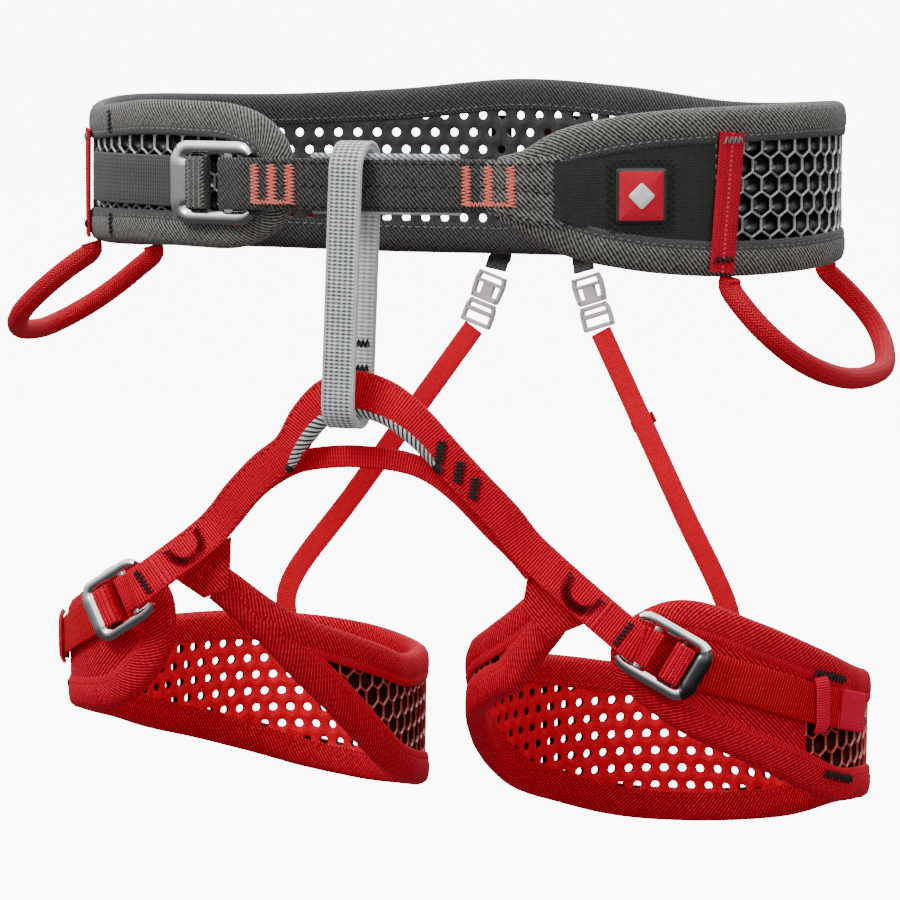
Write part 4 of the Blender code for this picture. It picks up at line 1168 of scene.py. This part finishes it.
def buckle_spine(size):
    """The C of the frame: from one arm's tip, round the blank bar, to the other arm's tip."""
    left, half, arm = -size["length"] / 2, size["height"] / 2, size["arm"]
    bar_x, arm_y = (size["length"] - size["bar"]) / 2, half - arm / 2
    corner = size["bar"] * 0.62
    turn = np.linspace(0, pi / 2, 7)
    arc_x, arc_y = bar_x - corner + corner * np.sin(turn), arm_y - corner + corner * np.cos(turn)
    arm_x = np.array((left, left + 1.2, left + 3.2, left + 6, -4, bar_x - corner - 2))
    dip = np.array((1.9, 1.1, 0.35, 0, 0, 0)) * arm / 4
    upper = np.concatenate([np.stack([arm_x, arm_y - dip], -1), np.stack([arc_x, arc_y], -1)])
    bar_y = np.linspace(arc_y[-1], -arc_y[-1], 9)[1:-1]
    bar = np.stack([np.full_like(bar_y, bar_x), bar_y], -1)
    return np.concatenate([upper, bar, (upper * (1, -1))[::-1]]), len(upper)


def buckle_frame(name, size, matrix, node, body, bar_look, arm_look):
    """A blank bar at the tail end between two bevelled arms with tapered tips, and the cross bar."""
    piece = Piece(name)
    half, arm, bar = size["height"] / 2, size["arm"], size["bar"]
    low = -size["thick"] / 2
    spine, upper = buckle_spine(size)
    tips = np.concatenate([(0.45, 0.75, 0.95, 1.0), np.ones(upper - 4)])
    grow = np.concatenate([np.zeros(6), np.linspace(0, 1, upper - 6) ** 1.3])
    in_bar = np.ones(len(spine) - 2 * upper)
    arm_widths, rise = arm * tips * (1 - grow) + bar * grow, 0.7 * (tips + grow)
    widths = np.concatenate([arm_widths, bar * in_bar, arm_widths[::-1]])
    high = low + size["thick"] + np.concatenate([rise, 1.4 * in_bar, rise[::-1]])
    joint, end = upper - 3, len(spine)
    spans = slice(0, joint), slice(joint - 1, end - joint + 1), slice(end - joint, end)
    for span, look in zip(spans, (arm_look, bar_look, arm_look)):
        bevelled_bar(piece, matrix, spine[span], widths[span], low, high[span], arm * BUCKLE_BEVEL, look)
    c0, c1 = size["cross"]
    y = np.linspace(-(half - arm * 0.6), half - arm * 0.6, 5)
    cross = np.stack([np.full_like(y, (c0 + c1) / 2), y], -1)
    bevelled_bar(piece, matrix, cross, c1 - c0, low, low + size["thick"], 0.6, arm_look)
    piece.finish(body, "alloy", (node,), angle=28)


def buckle_slider(name, size, matrix, node, body):
    """The bar that clamps the webbing, with rounded ends."""
    piece = Piece(name)
    x0, x1 = size["slider"]
    y = np.array([-1, -0.96, -0.9, 0, 0.9, 0.96, 1]) * (size["webbing"] / 2 + 0.3)
    widths = (x1 - x0) * np.array([0.6, 0.9, 1, 1, 1, 0.9, 0.6])
    spine = np.stack([np.full_like(y, (x0 + x1) / 2), y], -1)
    bevelled_bar(piece, matrix, spine, widths, -size["thick"] / 2, size["thick"] / 2, 0.7, ALLOY_DARK)
    piece.finish(body, "alloy", (node,), angle=28)


def buckle_wrap(name, size, matrix, node, body, cloth, rib_thread, slot):
    """The webbing folded round the slider bar, with three raised ribs on top."""
    piece = Piece(name)
    corners = np.array([(x, d - size["level"]) for x, d in wrap_path(size)])
    line = smooth_path(corners, 4)
    path = at_matrix(matrix, line[:, 0], 0, line[:, 1])
    webbing(piece, path, matrix[1], size["webbing"], 1.2, cloth, crown=0.1)
    x0, x1 = size["slider"]
    top = size["thick"] / 2 + 1.65
    y = np.linspace(-size["webbing"] / 2 + 0.5, size["webbing"] / 2 - 0.5, 14)
    for x in np.linspace(x0 + 0.2, x1 - 0.2, 3):
        tube(piece, at_matrix(matrix, x, y, top), 0.42, rib_thread, sides=6, steady=matrix[2])
    piece.finish(body, slot, (node,))


def waist_buckle():
    matrix = buckle_matrix(WAIST, WAIST_BUCKLE_U, STRAP_Z, BUCKLE["level"], 0.0, -1)
    buckle_frame("belt_buckle", BUCKLE, matrix, "waist_buckle_frame", "waist_frame", ALLOY, ALLOY)
    buckle_slider("belt_buckle_bar", BUCKLE, matrix, "waist_buckle_slider", "waist_slider")
    names = ("belt_buckle_wrap", BUCKLE, matrix, "waist_buckle_wrap", "waist_slider")
    buckle_wrap(*names, WRAP_CLOTH, THREAD_GREY, "charcoal")


# --- gear loops, haul loop -------------------------------------------------------------------------

# How far a front loop's ends hang straight down before it turns out.
ENTRY_DROP = 4


def belt_edges(u):
    """The belt's lower and upper edge at a place counted either way from its front."""
    low, high = BELT.edges(float(u if u > 0 else u + WAIST_LENGTH))
    return float(low), float(high)


def gear_path(front_u, rear_u, out, down, radius, rear):
    """A gear loop's middle line. A front loop starts under its strip, a rear one on the belt's face."""
    ends = []
    for u in (front_u, rear_u):
        face = WAIST.place(u, REAR_GEAR_Z, STRIP_D + radius + 1)
        ends.append(face if rear else WAIST.place(u, belt_edges(u)[0] - 1.5, STRIP_D))
    away = unit(WAIST.normal(float(front_u)) + WAIST.normal(float(rear_u)))
    drop = 0 if rear else ENTRY_DROP
    reach = away * out + UP * (drop - down)
    entry, chord = ends[0] - UP * drop, ends[1] - ends[0]
    points = [entry + chord * along + reach * share for along, share in GEAR_SHAPE]
    return smooth_path(points if rear else [ends[0], *points, ends[1]], 8)


def gear():
    """The four gear loops, and the strips that hold the front ones."""
    for name, (front_u, rear_u, out, down, radius) in GEAR_LOOPS.items():
        end, side = name.split("_")
        loop = Piece(f"gear_tube_{name}")
        path = resampled(gear_path(front_u, rear_u, out, down, radius, end == "rear"), 1.6)[0]
        tube(loop, path, radius, RED_BRAID, sides=18)
        loop.finish(f"gear_{name}", "red", (f"gear_loop_{name}",), angle=60)
        if end == "front":
            gear_strip(side, "front", front_u, STRIP_LEAN)
            gear_strip(side, "rear", rear_u, 0)


def gear_strip(side, tip, u, lean):
    """The upright strip that holds one end of a gear loop. Its lower end stands back along u by the lean."""
    strip = Piece(f"gear_tape_{side}_{tip}")
    low, high = belt_edges(u)
    top = high - BINDING_WIDTH + 4
    z = spaced(low + 1, top, 2.0)
    lean = -lean * (top - z) / (top - low)
    webbing(strip, WAIST.place(u + lean, z, 8.9), -WAIST.along(u + lean), GEAR_STRIP_WIDTH, 1.4, RED_STRIP)
    bartack(strip, oval_at(WAIST, u, top - 3.0, 9.7), 7.5, 2.6, THREAD_GREY)
    bartack(strip, oval_at(WAIST, u + lean[2], low + 6.0, 9.7), 8.0, 2.8, THREAD_DARK)
    strip.finish("belt", "red", (f"gear_strip_{side}_{tip}",))


def haul_loop():
    """A short upright loop of tape at the back of the belt."""
    piece = Piece("haul_tape")
    middle = WAIST_LENGTH / 2
    half_way = [(20, 8.5), (12, 8.5), (8, 10.7), (4, 13.7)]
    way = [*((-z, d) for z, d in half_way), (0, 14.7), *half_way[::-1]]
    path = smooth_path([WAIST.place(middle, z + 3, d) for z, d in way], 5)
    webbing(piece, path, -WAIST.along(middle), 12, 1.3, RED_BRIGHT)
    for z in (-13, 19):
        bartack(piece, oval_at(WAIST, middle, z, 9.4), 9, 3, THREAD_DARK)
    piece.finish("belt", "red", ("haul_loop",))


# --- belay loop ------------------------------------------------------------------------------------

def belay_lean(z):
    """How far to the side the ring's middle stands at a height."""
    share = (z - BELAY_BOTTOM) / (BELAY_TOP - BELAY_BOTTOM)
    return BELAY_X[1] + (BELAY_X[0] - BELAY_X[1]) * share


def belay_path(grow):
    """The ring's middle line, seen from the side, moved outwards by grow."""
    radius, middle_y = (BELAY_Y[1] - BELAY_Y[0]) / 2, sum(BELAY_Y) / 2
    front, back = BELAY_Y[0] - grow, BELAY_Y[1] + grow
    y, z = [], []
    run = spaced(3, -80, 3)
    for centre_z, start, run_y, run_z in (
        (BELAY_TOP - radius, 0, front, run), (BELAY_BOTTOM + radius, 180, back, run[::-1]),
    ):
        turn = np.radians(start + np.linspace(0, 180, 17))
        y += [*(middle_y + (radius + grow) * np.cos(turn)), *np.full_like(run_z, run_y)]
        z += [*(centre_z + (radius + grow) * np.sin(turn)), *run_z]
    z = np.array(z)
    return np.stack([belay_lean(z), y, z], -1)


def belay():
    """Two layers of webbing sewn into a ring, with rounded edges and bartacks."""
    piece = Piece("belay_ring")
    side = np.array((1.0, 0, 0))
    for grow, width, cloth in ((0.9, BELAY_WIDTH, BELAY_PALE), (-0.8, BELAY_WIDTH - 0.6, BELAY_WHITE)):
        webbing(piece, belay_path(grow), side, width, 1.6, cloth, closed=True, crown=0.1)
    for x in (-BELAY_WIDTH / 2 + 0.7, BELAY_WIDTH / 2 - 0.7):
        tube(piece, belay_path(0.9) + side * x, 0.98, BELAY_EDGE, sides=8, closed=True, steady=side)
    for z in (-62, -72, -82):
        for y, out in ((BELAY_Y[1] + 1.9, 1), (BELAY_Y[1] - 1.7, -1)):
            bartack(piece, flat_at((belay_lean(z), y, z), side, (0, out, 0)), 11, 3.2, THREAD_DARK)
    piece.finish("belay", "grey", ("belay_loop",))


# --- legs ------------------------------------------------------------------------------------------

# How far in from the pad's edge the middle of a long bartack is.
TACK_INSET = 9.5


def leg_pads():
    """Both leg loops' pads and bindings, with the long bartacks by each pad's round end."""
    for side in SIDES:
        band = LEG_BANDS[side]
        pad = Piece(f"leg_pad_{side}")
        honeycomb(pad, band, NET_RED, PIT_RED, LINER_RED, pitch=7.8, hole=1.8)
        end_cover(pad, band, LEG_COVER[side], RED_TWILL)
        pad.finish("legs", "dark_red", (f"leg_foam_{side}", f"leg_mesh_{side}"), padded=0.9, angle=50)
        tape = Piece(f"leg_edge_{side}")
        binding(tape, band, (RED_TWILL, RED_TWILL, RED_WEBBING), THREAD_RED, lift=-0.1)
        for s, upper in LONG_TACKS[side]:
            z = band.edges(float(s))[upper] + (-TACK_INSET if upper else TACK_INSET)
            at = oval_at(LEGS[side], s, z, 8.2, LONG_TACK_SLOPE)
            bartack(tape, at, 20, 3.6, THREAD_DARK, pitch=2.2, radius=0.36)
        upright_tacks(tape, band, (196, 300), 6.5, 8.1, 2.8)
        tape.finish("legs", "red", (f"leg_binding_{side}",), padded=0.8, angle=60)


def leg_fastenings():
    """Buckles, tails, keepers and folded tabs of both leg loops. Gives the buckles' places."""
    size = scaled(BUCKLE, LEG_SCALE, LEG_WEBBING)
    made = {}
    for side, oval in LEGS.items():
        u, z = LEG_BUCKLE_AT[side]
        matrix = buckle_matrix(oval, u, z, size["level"] + 1.2, LEG_SLOPE, 1)
        made[side] = matrix
        node, clasp, slider = f"leg_buckle_{side}", f"leg_clasp_{side}", f"leg_slider_{side}"
        bar = ALLOY if side == "right" else ALLOY_DARK
        buckle_frame(clasp, size, matrix, f"{node}_frame", f"leg_frame_{side}", bar, ALLOY)
        buckle_slider(f"leg_clasp_bar_{side}", size, matrix, f"{node}_slider", slider)
        names = (f"leg_clasp_wrap_{side}", size, matrix, f"{node}_wrap", slider)
        buckle_wrap(*names, RED_WEBBING, RED_BRIGHT, "red")
        leg_tail(side, oval)
        leg_keeper(side, oval)
        leg_tab(side)
    return made, size


def leg_tail(side, oval):
    """The webbing past the buckle, with its turned-back end as a second layer."""
    piece = Piece(f"leg_strap_end_{side}")
    stations = np.array(LEG_TAIL_PATH[side], float)
    line = smooth_path(stations)
    u, z = line.T
    across = np.cross(oval.normal(u), unit(oval.along(u) - UP * 0.34))
    webbing(piece, oval.place(u, z, LEG_TAIL_D), across, LEG_WEBBING, 1.3, RED_FINE)
    end = slice(len(line) - len(smooth_path(stations[-2:])), None)
    over = oval.place(u[end], z[end], LEG_TAIL_D + 1.3)
    webbing(piece, over, across[end], LEG_WEBBING, 1.2, RED_BRIGHT)
    piece.finish("legs", "dark_red", (f"leg_tail_{side}",))


def leg_keeper(side, oval):
    """The elastic band over the tail."""
    piece = Piece(f"leg_band_{side}")
    u, width, height = LEG_KEEPER[side]
    z = float(through(LEG_TAIL_PATH[side], u))
    rise = np.linspace(-1, 1, 17)
    path = oval.place(u, z + rise * height / 2, 11.0 - 1.6 * np.abs(rise) ** 6)
    webbing(piece, path, oval.along(float(u)), width, 1.2, RED_BRIGHT, crown=0.3)
    piece.finish("legs", "red", (f"leg_keeper_{side}",))


def leg_tab(side):
    """A folded wedge of cloth that joins the webbing to the pad's narrow start."""
    piece = Piece(f"leg_fold_{side}")
    (first, second), (third, fourth) = np.array(TAB_CORNERS[side], float)
    a, b = np.linspace(0, 1, 11), np.linspace(0, 1, 9)
    upper = first + (second - first) * a[:, None]
    lower = third + (fourth - third) * a[:, None]
    flat = upper[:, None] + (lower - upper)[:, None] * b[:, None]
    puff = 1.1 * np.sin(pi * a)[:, None] ** 0.6 * np.sin(pi * (0.15 + 0.7 * b))
    for depth, flip in ((-puff, False), (puff * 0.4 + 1.2, True)):
        y = np.full(flat.shape[:2], TAB_Y[side]) + depth
        piece.grid(np.stack([flat[..., 0], y, flat[..., 1]], -1), flat, RED_TWILL, flip=flip)
    piece.finish("legs", "red", (f"leg_tab_{side}",))


def arch_line(stations):
    """A strap's points, and its sideways directions from the way that each point faces."""
    line = np.array([spot for spot, _ in stations], float)
    return line, np.cross(unit([facing for _, facing in stations]), unit(np.gradient(line, axis=0)))


def leg_webbing(matrices, size):
    """The webbing from one buckle, over the arch, to the other, with its stitches and bartacks."""
    folds = {}
    for side, matrix in matrices.items():
        folds[side] = [at_matrix(matrix, x, 0, d - size["level"]) for x, d in fold_path(size)]
    line, across = arch_line(ARCH)
    right, left = ([matrices[side][1]] * len(folds[side]) for side in ("right", "left"))
    across = [way if way[2] > 0 else -way for way in (*right, *across, *left)]
    path = smooth_path([*folds["right"], *line, *folds["left"][::-1]])
    piece = Piece("leg_strap")
    side_way, out = webbing(piece, path, unit(smooth_path(across)), ARCH_WIDTH, 1.4, RED_WEBBING, crown=0.1)
    out = out * np.where(out[:, 1] < 0, 1.0, -1.0)[:, None]
    seen = slice(40, len(path) - 40)
    for y in (-ARCH_WIDTH / 2 + 1.4, ARCH_WIDTH / 2 - 1.4):
        sew(piece, (path + side_way * y + out * 0.8)[seen], out[seen], THREAD_RED)
    arm_bars(piece, path, side_way, out)
    piece.finish("legs", "red", ("leg_webbing",))


def cross_strap():
    """The narrow webbing that joins the two leg loops under the arch."""
    piece = Piece("leg_cross_strap")
    line = smooth_path([spot for spot, _ in CROSS])
    facing = unit(smooth_path([way for _, way in CROSS]))
    webbing(piece, line, np.cross(facing, unit(np.gradient(line, axis=0))), CROSS_WIDTH, 1.4, RED_WEBBING)
    piece.finish("legs", "red", ("cross_webbing",))


def nearest(path, spot):
    """The number of the path's point that is nearest to a spot."""
    return int(np.argmin(np.linalg.norm(path - np.asarray(spot, float), axis=1)))


# Where the bartacks lie along the two arms of the leg webbing.
SLANTED_BARS = ((28.9, -106, -102.5), (36.4, -104.6, -109.8), (43.6, -103, -116.3))
CROSS_BARS = ((-99.8, -100, -159.5), (101.5, -96, -169.5))
CRESCENTS = ((-80.9, -98, -148.6), (83.4, -96, -157.5))
RIBBED_SPOTS = ((-92, -99, -157), (94, -95, -166))


def arm_bars(piece, path, side, out):
    """Bartacks across the two arms of the leg webbing, and raised ribs by each buckle."""
    ahead = unit(np.gradient(path, axis=0))
    for k in (nearest(path, spot) for spot in SLANTED_BARS):
        at = flat_at(path[k] + out[k] * 0.85, UP * 0.92 + side[k] * 0.35, out[k])
        bartack(piece, at, 8.8, 4.6, THREAD_DARK, pitch=1.35, radius=0.36)
    for k in (nearest(path, spot) for spot in CROSS_BARS):
        bartack(piece, flat_at(path[k] + out[k] * 0.8, side[k], out[k]), 11, 2.8, THREAD_DARK)
    for k in (nearest(path, spot) for spot in CRESCENTS):
        crescent(piece, path[k] + out[k] * 0.95, ahead[k], side[k], out[k])
    for k in (nearest(path, spot) for spot in RIBBED_SPOTS):
        for shift in (-2.6, 0, 2.6):
            line = path[k] + ahead[k] * shift + out[k] * 0.7 + side[k] * np.linspace(-6.6, 6.6, 9)[:, None]
            tube(piece, line, 0.5, RED_BRIGHT, sides=6, steady=out[k])


def crescent(piece, centre, ahead, side, out):
    """A bartack sewn along a shallow U."""
    turns = np.linspace(-1, 1, 61)
    middle = np.stack([7.6 * np.sin(turns * pi / 2), -4.4 + 9.0 * np.abs(turns) ** 2.4], -1)
    way = unit(np.gradient(middle, axis=0))
    normal = np.stack([-way[:, 1], way[:, 0]], -1)
    spots = middle + normal * np.where(np.arange(61) % 2, 1.7, -1.7)[:, None]
    tube(piece, centre + ahead * spots[:, :1] + side * spots[:, 1:], 0.5, THREAD_DARK, sides=5, steady=out)


def arch_edging():
    """Striped rope-like edging under the crest of the leg webbing, thick and then tapering."""
    piece = Piece("arch_edging")
    line = smooth_path([(x, y + 0.7, z - 8.2) for (x, y, z), _ in ARCH[SLEEVE_SPAN]], 8)
    share = np.linspace(0, 1, len(line))
    radius = np.interp(share, (0, 0.06, 0.2, 0.5, 0.8, 1), (1.4, 2.4, 3.0, 2.8, 2.4, 1.5))
    tube(piece, line, radius, ARCH_PIPING, sides=14, steady=UP)
    for end, tip in ((0, line[:3]), (-1, line[:-4:-1])):
        tube(piece, resampled(tip, 0.8)[0], radius[end] + 0.5, THREAD_DARK)
    piece.finish("legs", "grey", ("arch_sleeve",))


# --- risers ----------------------------------------------------------------------------------------

def risers():
    """The two rear straps: a stub on the belt, a clip, and a strap down to the leg loop."""
    for side in SIDES:
        top, clip = np.array(RISER_TOP[side], float), np.array(RISER_BUCKLE[side], float)
        down = unit(clip - top)
        width_way = unit(np.cross(down, BACK))
        riser_stub(side, clip - down * 8, width_way)
        matrix = np.stack([width_way, -down, unit(np.cross(width_way, down)), clip])
        riser_clip(side, matrix)
        riser_strap(side, matrix, width_way)


def riser_stub(side, last, width_way):
    """Tape sewn to the belt's outside, running down to the clip."""
    stub = Piece(f"riser_tape_{side}")
    u, out = RISER_U[side], WAIST.normal(float(RISER_U[side]))
    sewn, edge = WAIST.place(u, 24, 8.9), WAIST.place(u, -37, 8.9)
    path = smooth_path([sewn, (edge + sewn) / 2, edge, (edge + last) / 2, last])
    webbing(stub, path, width_way, RISER_WIDTH, 1.3, CHARCOAL_FINE)
    bartack(stub, flat_at(sewn - UP * 3 + out * 0.8, width_way, out), 8, 3, THREAD_RED)
    stub.finish("belt", "charcoal", (f"riser_stub_{side}",))


# The clip's halves: level bars as (low, high, reach), and one of each pair of side bars.
SOCKET_BARS = ((-7, -4.6, 6.2), (4.4, 5.6, 6.6), (0.6, 2.0, 6.6))
SOCKET_SIDE = ((5.6, -6.6), (6.2, -3), (6.4, 2), (5.6, 5.4))
PLUG_BARS = ((-9.6, -7.8, 5.6), (-13.4, -11.4, 6.6), (-18.8, -17.0, 6.8))
PLUG_SIDE = ((5.2, -7.9), (6.3, -10.5), (6.5, -14), (6.5, -18.6))
CLIP_PIECES = {"socket": "clip", "plug": "prong"}


def riser_clip(side, matrix):
    """A side release clip: its socket on the belt's stub and its plug on the strap."""
    for name, bars, side_bar, side_width, thick in (
        ("socket", SOCKET_BARS, SOCKET_SIDE, 1.7, 2), ("plug", PLUG_BARS, PLUG_SIDE, 1.6, 1.8),
    ):
        piece = Piece(f"riser_{CLIP_PIECES[name]}_{side}")
        for low, high, reach in bars:
            level_bar(piece, matrix, reach, (low + high) / 2, high - low, thick, 0.6, PALE_PLASTIC)
        for way in (-1, 1):
            spine = np.array(side_bar) * (way, 1)
            bevelled_bar(piece, matrix, spine, side_width, -thick, thick, 0.6, PALE_PLASTIC)
        if name == "socket":
            tongue = ((0, -6.5), (0, -2), (0, 0.8))
            bevelled_bar(piece, matrix, tongue, 5.6, -1.7, 1.7, 0.5, PALE_PLASTIC)
        piece.finish("belt", "plastic", (f"riser_{name}_{side}",), angle=30)


def riser_strap(side, matrix, width_way):
    """The strap from the clip down to the leg loop, with its keeper."""
    oval = LEGS[side]
    foot_u, foot_z = RISER_FOOT[side]
    start, out = at_matrix(matrix, 0, -20.2, 0), oval.normal(float(foot_u))
    rest, end = oval.place(foot_u, foot_z + 22, 9.5), oval.place(foot_u, foot_z - 4, 9.5)
    fall = unit(rest - start)
    strap_way = unit(np.cross(fall, BACK))
    path = smooth_path([start, start + (rest - start) * 0.33, start + (rest - start) * 0.66, rest, end], 8)
    ways = unit(smooth_path([width_way, *[strap_way] * 4], 8))
    piece = Piece(f"riser_band_{side}")
    webbing(piece, path, ways, RISER_WIDTH, 1.3, RISER_RED)
    bartack(piece, flat_at(end + UP * 6 + out * 0.9, strap_way, out), 8, 3, THREAD_DARK)
    piece.finish("legs", "red", (f"riser_strap_{side}",))
    keeper = Piece(f"riser_loop_{side}")
    spot = start + (rest - start) * RISER_KEEPER + BACK * 1.9
    line = [spot + fall * k for k in (-2.5, 0, 2.5)]
    webbing(keeper, line, strap_way, RISER_WIDTH + 2, 1.3, RED_FINE, crown=0.2)
    keeper.finish("legs", "dark_red", (f"riser_keeper_{side}",))


# --- studio ----------------------------------------------------------------------------------------

CAMERA_TARGET = Vector((0.0001, -0.0137, -0.1135))
CAMERA_AZIMUTH, CAMERA_ELEVATION, CAMERA_DISTANCE, CAMERA_LENS = radians(20), radians(6.5), 1.5, 142.86
FLOOR_Z, FLOOR_HALF, FLOOR_GLOW = -0.42, 9, 9.2
LIGHT_TARGET = Vector((0, 0, -0.12))
# Each softbox's place and width and height in metres, and its power in watts.
SOFTBOXES = {
    "key_light": ((-0.9, -1.3, 1.5), (0.8, 0.8), 38), "fill_light": ((1.6, -1.1, 0.5), (1.0, 1.0), 9),
    "back_light": ((0.3, 1.7, 1.2), (1.2, 0.9), 14), "top_light": ((0.0, -0.1, 1.7), (1.2, 1.2), 14),
}
# The world's strength as light, in reflections and as the backdrop.
WORLD_SOFT, WORLD_GLOSS, WORLD_SEEN = 0.4, 2.4, 9.6
# Reflected brightness from straight down (0) to straight up (1).
SKY_STOPS = ((0.3, 0.03), (0.5, 0.16), (0.75, 1.0))


def aimed(name, data, place, target):
    """An object that looks from its place at the target."""
    obj = bpy.data.objects.new(name, data)
    obj.location = place
    obj.rotation_euler = (target - place).to_track_quat("-Z", "Y").to_euler()
    bpy.context.scene.collection.objects.link(obj)
    return obj


def camera():
    data = bpy.data.cameras.new("camera")
    data.lens, data.sensor_width = CAMERA_LENS, 36
    a, e = CAMERA_AZIMUTH, CAMERA_ELEVATION
    back = Vector((sin(a) * cos(e), -cos(a) * cos(e), sin(e)))
    place = CAMERA_TARGET + back * CAMERA_DISTANCE
    bpy.context.scene.camera = aimed("camera", data, place, CAMERA_TARGET)


def softbox(name, place, size, power):
    data = bpy.data.lights.new(name, "AREA")
    data.shape, data.size, data.size_y, data.energy = "RECTANGLE", size[0], size[1], power
    aimed(name, data, Vector(place), LIGHT_TARGET)


def studio_world():
    """Soft even light, with a bright sky and a dim ground in reflections, and a white backdrop."""
    world = bpy.data.worlds.new("studio")
    bpy.context.scene.world = world
    world.use_nodes = True
    nodes, links = world.node_tree.nodes, world.node_tree.links
    lit, glossy, seen = nodes["Background"], *(nodes.new("ShaderNodeBackground") for _ in range(2))
    for node, strength in ((lit, WORLD_SOFT), (glossy, WORLD_GLOSS), (seen, WORLD_SEEN)):
        node.inputs[0].default_value = (1, 1, 1, 1)
        node.inputs[1].default_value = strength
    links.new(sky_ramp(nodes, links), glossy.inputs[0])
    rays = nodes.new("ShaderNodeLightPath")
    shown = lit.outputs[0]
    for ray, other in (("Is Glossy Ray", glossy), ("Is Camera Ray", seen)):
        mix = nodes.new("ShaderNodeMixShader")
        for value, socket in zip((rays.outputs[ray], shown, other.outputs[0]), mix.inputs):
            links.new(value, socket)
        shown = mix.outputs[0]
    links.new(shown, nodes["World Output"].inputs[0])


def sky_ramp(nodes, links):
    """Brightness that grows with the height that a reflection looks at."""
    place, split = nodes.new("ShaderNodeTexCoord"), nodes.new("ShaderNodeSeparateXYZ")
    height, ramp = nodes.new("ShaderNodeMath"), nodes.new("ShaderNodeValToRGB")
    height.operation = "MULTIPLY_ADD"
    height.inputs[1].default_value, height.inputs[2].default_value = 0.5, 0.5
    links.new(place.outputs["Generated"], split.inputs[0])
    links.new(split.outputs[2], height.inputs[0])
    links.new(height.outputs[0], ramp.inputs[0])
    stops = ramp.color_ramp.elements
    stops.new(SKY_STOPS[1][0])
    for stop, (at, shade) in zip(stops, SKY_STOPS):
        stop.position, stop.color = at, (shade, shade, shade, 1)
    return ramp.outputs[0]


def studio():
    """A pale, even floor that neither lights the harness nor mirrors in it, the world and the lights."""
    look = Look("floor")
    colour = look.ramp(look.noise(3, 2.0), ((0.3, (0.86, 0.86, 0.86)), (0.7, (0.9, 0.9, 0.9))))
    look.finish(colour, rough=0.9)
    look.shader.inputs["Emission Color"].default_value = (1, 1, 1, 1)
    look.shader.inputs["Emission Strength"].default_value = FLOOR_GLOW
    mesh = bpy.data.meshes.new("floor")
    corners = [(x * FLOOR_HALF, y * FLOOR_HALF, 0) for x, y in ((-1, -1), (1, -1), (1, 1), (-1, 1))]
    mesh.from_pydata(corners, [], [(0, 1, 2, 3)])
    mesh.materials.append(look.material)
    floor = bpy.data.objects.new("floor", mesh)
    floor.location = (0, 0, FLOOR_Z)
    bpy.context.scene.collection.objects.link(floor)
    floor.visible_diffuse = False
    floor.visible_glossy = False
    studio_world()
    for name, settings in SOFTBOXES.items():
        softbox(name, *settings)


# --- the harness -----------------------------------------------------------------------------------

camera()
belt_pad()
wing_panel()
wing_patch()
belt_strap()
belt_lining()
waist_buckle()
gear()
haul_loop()
belay()
leg_pads()
leg_webbing(*leg_fastenings())
cross_strap()
arch_edging()
risers()
studio()

bpy.context.view_layer.update()
